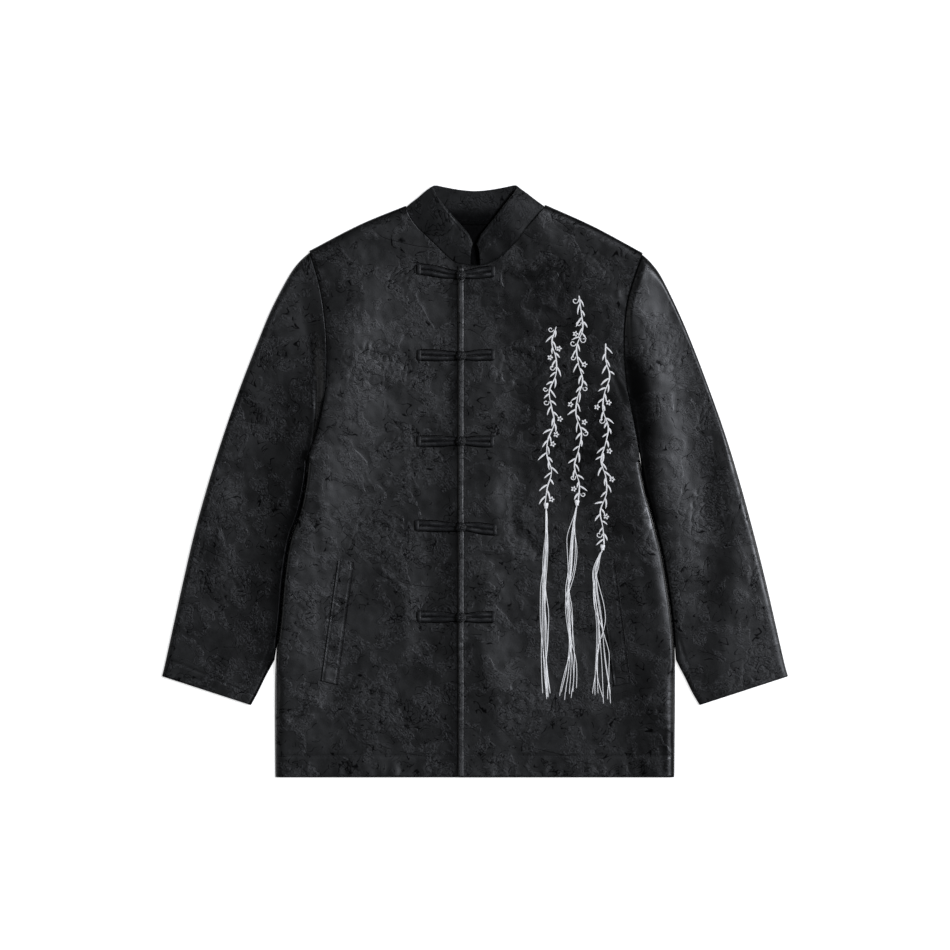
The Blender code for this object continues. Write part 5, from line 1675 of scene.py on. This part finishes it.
MATERIALS = {
    "jacquard": (cloth_material, (0.0090, 0.0093, 0.0094, 1.0), (0.0066, 0.0068, 0.0069, 1.0),
                 (0.34, 0.38), 0.5),
    "jacquard_collar": (cloth_material, (0.0180, 0.0185, 0.0187, 1.0),
                        (0.0152, 0.0156, 0.0158, 1.0), (0.38, 0.42), 0.17),
    "black_satin": (satin_material, (0.0060, 0.0062, 0.0068, 1.0),
                    (0.0140, 0.0146, 0.016, 1.0), 0.32, 0.12),
    # near black: the lining inside, dark as painted shade where it shows in the neck, and the
    # strips of painted shadow under the frogs
    "lining_satin": (satin_material, (0.001, 0.001, 0.0011, 1.0),
                     (0.002, 0.002, 0.0022, 1.0), 0.04, 0.03),
    "white_silk": (thread_material, 420.0),
    "white_strand": (thread_material, 300.0),
    "black_sewing": (sewing_material, (0.006, 0.006, 0.007, 1.0), (0.030, 0.031, 0.034, 1.0)),
}


def material(name):
    """The named material, made once."""
    maker, *settings = MATERIALS[name]
    return bpy.data.materials.get(name) or maker(name, *settings)


# ------------------------------------------------------------------------- properties
class JacketClothSettings(bpy.types.PropertyGroup):
    """Sizes of the garment's cloth."""
    relief: bpy.props.FloatProperty(
        name="Weave relief", description="Strength of the puckered figure of the weave",
        default=1.0, min=0.0, max=3.0)
    collar_relief: bpy.props.FloatProperty(
        name="Collar relief", description="Strength of the puckered figure on the collar",
        default=0.7, min=0.0, max=3.0)


class JacketTrimSettings(bpy.types.PropertyGroup):
    """Threads and stitches."""
    strands: bpy.props.IntProperty(
        name="Tassel threads", description="Loose threads in each tassel",
        default=THREADS, min=3, max=60)
    strand_radius: bpy.props.FloatProperty(
        name="Thread radius", description="Radius of a loose tassel thread",
        default=THREAD_R * MM, min=0.0001, max=0.002, subtype="DISTANCE", unit="LENGTH")
    stitch_pitch: bpy.props.FloatProperty(
        name="Stitch pitch", description="Distance from one stitch to the next",
        default=3.4 * MM, min=0.001, max=0.01, subtype="DISTANCE", unit="LENGTH")
    stitch_seed: bpy.props.IntProperty(
        name="Stitch seed", description="Seed of the small turns of the stitches", default=7)


class JacketStageSettings(bpy.types.PropertyGroup):
    """Camera, lights and floor."""
    camera_height: bpy.props.FloatProperty(
        name="Camera height", description="Height of the camera over the floor",
        default=13.0, min=1.0, max=30.0, subtype="DISTANCE", unit="LENGTH")
    view_width: bpy.props.FloatProperty(
        name="Width in view", description="Width that the picture covers at the cloth",
        default=1.254, min=0.2, max=5.0, subtype="DISTANCE", unit="LENGTH")
    key_power: bpy.props.FloatProperty(
        name="Key light", description="Power of the large light at the upper right",
        default=4400.0, min=0.0, max=20000.0, subtype="POWER", unit="POWER")
    low_power: bpy.props.FloatProperty(
        name="Low light", description="Power of the very low light at the right",
        default=1440.0, min=0.0, max=20000.0, subtype="POWER", unit="POWER")
    fill_power: bpy.props.FloatProperty(
        name="Fill light", description="Power of the weak light at the left",
        default=54.0, min=0.0, max=900.0, subtype="POWER", unit="POWER")
    world_strength: bpy.props.FloatProperty(
        name="Room light", description="Strength of the even light of the room",
        default=0.05, min=0.0, max=5.0)
    floor_tone: bpy.props.FloatVectorProperty(
        name="Floor tone", description="Colour of the floor",
        default=(0.90, 0.90, 0.90), size=3, subtype="COLOR", min=0.0, max=1.0)


# -------------------------------------------------------------------------- operators
def settle(obj, node_name=None):
    """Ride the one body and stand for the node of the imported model."""
    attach(obj, BODY)
    if node_name:
        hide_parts(node_name)
    return obj


class JACKET_OT_body(bpy.types.Operator):
    """Build the back panel and both fronts"""
    bl_idname = "jacket.body"
    bl_label = "Body"

    def execute(self, context):
        cloth = context.scene.jacket_cloth
        mat = material("jacquard")
        obj, outline = make_back("back_cloth", mat)
        # the back's upper faces, seen in the neck opening, take the near-black lining, which
        # paints the shade there
        obj.data.materials.append(material("lining_satin"))
        for face in obj.data.polygons:
            face.material_index = 1 if face.normal.z > -0.5 else 0
        settle(obj, "back_panel")
        TOPS["back"] = tree_of(obj)
        for key, side in (("right_front", RIGHT), ("left_front", LEFT)):
            obj, outline = make_front(key + "_cloth", side, mat, cloth.relief)
            settle(obj, key)
            TOPS[key] = tree_of(obj)
            run = catmull(side["armhole"])
            run = at_fractions(run, np.linspace(10.0, run_length(run) - 12.0, 90)
                               / run_length(run))
            strip = make_seam_strip(key.split("_")[0] + "_armhole_allowance",
                                    run - (side["sign"] * 0.9, 0.0), 2.0, 3.4,
                                    material("lining_satin"))
            settle(strip)
        return {"FINISHED"}


class JACKET_OT_sleeves(bpy.types.Operator):
    """Build both sleeves"""
    bl_idname = "jacket.sleeves"
    bl_label = "Sleeves"

    def execute(self, context):
        cloth = context.scene.jacket_cloth
        for key, side in (("right_sleeve", RIGHT), ("left_sleeve", LEFT)):
            obj, outline = make_sleeve(key + "_cloth", side, material("jacquard"),
                                       cloth.relief)
            settle(obj, key)
            TOPS[key] = tree_of(obj)
        return {"FINISHED"}


class JACKET_OT_collar(bpy.types.Operator):
    """Build the stand collar"""
    bl_idname = "jacket.collar"
    bl_label = "Collar"

    def execute(self, context):
        cloth = context.scene.jacket_cloth
        obj, length = make_collar("collar_cloth", material("jacquard_collar"),
                                  cloth.collar_relief)
        settle(obj, "stand_collar")
        TOPS["collar"] = tree_of(obj)
        run = offset_run(catmull(BACK_NECK), 1.2)
        tape = make_seam_strip("neck_tape", run[np.abs(run[:, 0]) < 66.0], 2.4, 3.2,
                               material("lining_satin"))
        settle(tape)
        return {"FINISHED"}


class JACKET_OT_edges(bpy.types.Operator):
    """Build the rolled front edge and the pocket welts"""
    bl_idname = "jacket.edges"
    bl_label = "Edge roll and welts"

    def execute(self, context):
        mat = material("jacquard")
        obj = make_edge_roll("edge_roll", ["left_front"], mat)
        settle(obj, "front_edge_roll")
        TOPS["roll"] = tree_of(obj)
        for key, seed in (("right", 101), ("left", 107)):
            obj, outline = make_welt(key + "_welt", [key + "_front"], WELTS[key], mat, seed)
            settle(obj, key + "_pocket_welt")
            TOPS[key + "_welt"] = tree_of(obj)
        return {"FINISHED"}


class JACKET_OT_frogs(bpy.types.Operator):
    """Build the five frog fastenings"""
    bl_idname = "jacket.frogs"
    bl_label = "Frogs"

    def execute(self, context):
        mat = material("black_satin")
        for k, (y, yl0, yl1, yr0, yr1, x_left, x_right) in enumerate(FROGS, start=1):
            tag = "frog_" + str(k)
            loop = make_strap(tag + "_loop_band", ["right_front"], x_left, yl0, LOOP_END_X,
                              yl1, mat, 200 + k)
            settle(loop, tag + "_loop_strap")
            hold = make_strap(tag + "_knot_band", ["left_front"], x_right, yr0, HOLD_END_X,
                              yr1, mat, 300 + k)
            settle(hold, tag + "_knot_strap")
            base = surface(["roll", "left_front"], KNOT_X, y, 3.0) + 0.1
            knot = make_knot(tag + "_ball", KNOT_X, y, base, mat, 400 + k)
            settle(knot, tag + "_knot")
        return {"FINISHED"}


class JACKET_OT_embroidery(bpy.types.Operator):
    """Embroider the three hanging sprigs"""
    bl_idname = "jacket.embroidery"
    bl_label = "Embroidery"

    def execute(self, context):
        for key, entry in zip(("inner", "middle", "outer"), SPRIGS):
            obj = make_sprig("sprig_" + key, ["left_front"], entry, material("white_silk"))
            settle(obj)
        return {"FINISHED"}


class JACKET_OT_tassels(bpy.types.Operator):
    """Hang the loose threads under the embroidery"""
    bl_idname = "jacket.tassels"
    bl_label = "Tassels"

    def execute(self, context):
        trim = context.scene.jacket_trim
        for seed, (key, sections) in enumerate(TASSELS.items(), start=31):
            obj = make_tassel("tassel_" + key + "_threads", ["left_front", "left_welt"],
                              sections, material("white_strand"), seed, trim.strands,
                              trim.strand_radius / MM)
            settle(obj, "tassel_" + key)
        return {"FINISHED"}


class JACKET_OT_stitches(bpy.types.Operator):
    """Sew the hem, cuffs, welts and front edge"""
    bl_idname = "jacket.stitches"
    bl_label = "Stitches"

    def execute(self, context):
        trim = context.scene.jacket_trim
        mat = material("black_sewing")
        pitch = trim.stitch_pitch / MM
        inset = np.array(((1, -1), (-1, -1), (-1, 1), (1, 1), (1, -1))) * WELT_STITCH
        round_welts = [np.array(WELTS[key] + WELTS[key][:1]) + inset
                       for key in ("left", "right")]
        hem = [[(x, HEM_STITCH_Y + rise) for x, rise in half] for half in (
            ((-254.0, 0.0), (-78.0, 0.8), (-25.0, 0.4)),
            ((-12.0, 0.0), (90.0, -0.8), (253.0, 0.3)))]
        cuffs = [[(way * 398.0, -229.0), (way * 330.0, -257.0), (way * 272.0, -238.0)]
                 for way in (-1.0, 1.0)]
        for key, names, runs, slot_name in (
                ("hem_stitches", ["left_front", "right_front"], hem, "left_front"),
                ("edge_stitches", ["left_front"],
                 [[(EDGE_STITCH_X, 279.0), (EDGE_STITCH_X, -388.0)]], "left_front"),
                ("welt_stitches", ["left_welt", "right_welt"], round_welts,
                 "left_pocket_welt"),
                ("cuff_stitches", ["right_sleeve", "left_sleeve"], cuffs, "left_sleeve")):
            obj = make_stitches(key, names, runs, pitch, mat, trim.stitch_seed)
            settle(obj)
        return {"FINISHED"}


class JACKET_OT_stage(bpy.types.Operator):
    """Lay the floor and place the camera and the soft lights"""
    bl_idname = "jacket.stage"
    bl_label = "Stage"

    def execute(self, context):
        stage = context.scene.jacket_stage
        scene = context.scene
        bm = bmesh.new()
        bmesh.ops.create_grid(bm, x_segments=8, y_segments=8, size=6.0)
        mesh = bpy.data.meshes.new("floor")
        bm.to_mesh(mesh)
        bm.free()
        mesh.materials.append(floor_material(stage.floor_tone))
        floor = bpy.data.objects.new("floor", mesh)
        floor.location.z = FLOOR_Z
        scene.collection.objects.link(floor)

        data = bpy.data.cameras.new("camera")
        data.type = "PERSP"
        data.sensor_width = SENSOR_WIDTH
        data.lens = SENSOR_WIDTH * (stage.camera_height - CLOTH_PLANE) / stage.view_width
        data.clip_end = 50.0
        camera = bpy.data.objects.new("camera", data)
        camera.location = (0.0, CAMERA_Y, stage.camera_height)
        scene.collection.objects.link(camera)
        scene.camera = camera

        for label, at, size, power, colour in (
                ("key_light", (14.2, 3.75, 22.6), (5.1, 8.4), stage.key_power, DAYLIGHT),
                ("low_light", (21.0, 3.6, 4.5), (3.6, 7.8), stage.low_power, WHITE),
                ("fill_light", (-10.8, 0.6, 6.6), (2.7, 4.5), stage.fill_power, WHITE)):
            lamp = bpy.data.lights.new(label, "AREA")
            lamp.shape = "RECTANGLE"
            lamp.size, lamp.size_y = size
            lamp.energy = power
            lamp.color = colour
            obj = bpy.data.objects.new(label, lamp)
            obj.location = at
            obj.rotation_euler = (-Vector(at)).to_track_quat("-Z", "Y").to_euler()
            scene.collection.objects.link(obj)

        world = bpy.data.worlds.new("room")
        world.use_nodes = True
        back = world.node_tree.nodes["Background"]
        back.inputs["Color"].default_value = (*WHITE, 1.0)
        back.inputs["Strength"].default_value = stage.world_strength
        scene.world = world
        scene.view_settings.view_transform = "Standard"
        return {"FINISHED"}


class JACKET_PT_panel(bpy.types.Panel):
    """Settings and steps of the jacket"""
    bl_label = "Tang jacket"
    bl_idname = "JACKET_PT_panel"
    bl_space_type = "VIEW_3D"
    bl_region_type = "UI"
    bl_category = "Jacket"

    def draw(self, context):
        layout = self.layout
        for group in (context.scene.jacket_cloth, context.scene.jacket_trim,
                      context.scene.jacket_stage):
            box = layout.box()
            for key in group.bl_rna.properties.keys():
                if key not in ("rna_type", "name"):
                    box.prop(group, key)
        for step in STEPS:
            layout.operator(step.bl_idname)


STEPS = (JACKET_OT_body, JACKET_OT_sleeves, JACKET_OT_collar, JACKET_OT_edges,
         JACKET_OT_frogs, JACKET_OT_embroidery, JACKET_OT_tassels, JACKET_OT_stitches,
         JACKET_OT_stage)
CLASSES = (JacketClothSettings, JacketTrimSettings, JacketStageSettings) + STEPS + (
    JACKET_PT_panel,)


def register():
    """Add the classes and the scene's settings."""
    for cls in CLASSES:
        bpy.utils.register_class(cls)
    bpy.types.Scene.jacket_cloth = bpy.props.PointerProperty(type=JacketClothSettings)
    bpy.types.Scene.jacket_trim = bpy.props.PointerProperty(type=JacketTrimSettings)
    bpy.types.Scene.jacket_stage = bpy.props.PointerProperty(type=JacketStageSettings)


def unregister():
    """Take them away again."""
    del bpy.types.Scene.jacket_stage
    del bpy.types.Scene.jacket_trim
    del bpy.types.Scene.jacket_cloth
    for cls in reversed(CLASSES):
        bpy.utils.unregister_class(cls)


def main():
    """Build every piece and the stage."""
    register()
    bpy.ops.jacket.body()
    bpy.ops.jacket.sleeves()
    bpy.ops.jacket.collar()
    bpy.ops.jacket.edges()
    bpy.ops.jacket.frogs()
    bpy.ops.jacket.embroidery()
    bpy.ops.jacket.tassels()
    bpy.ops.jacket.stitches()
    bpy.ops.jacket.stage()


if __name__ == "__main__":
    main()
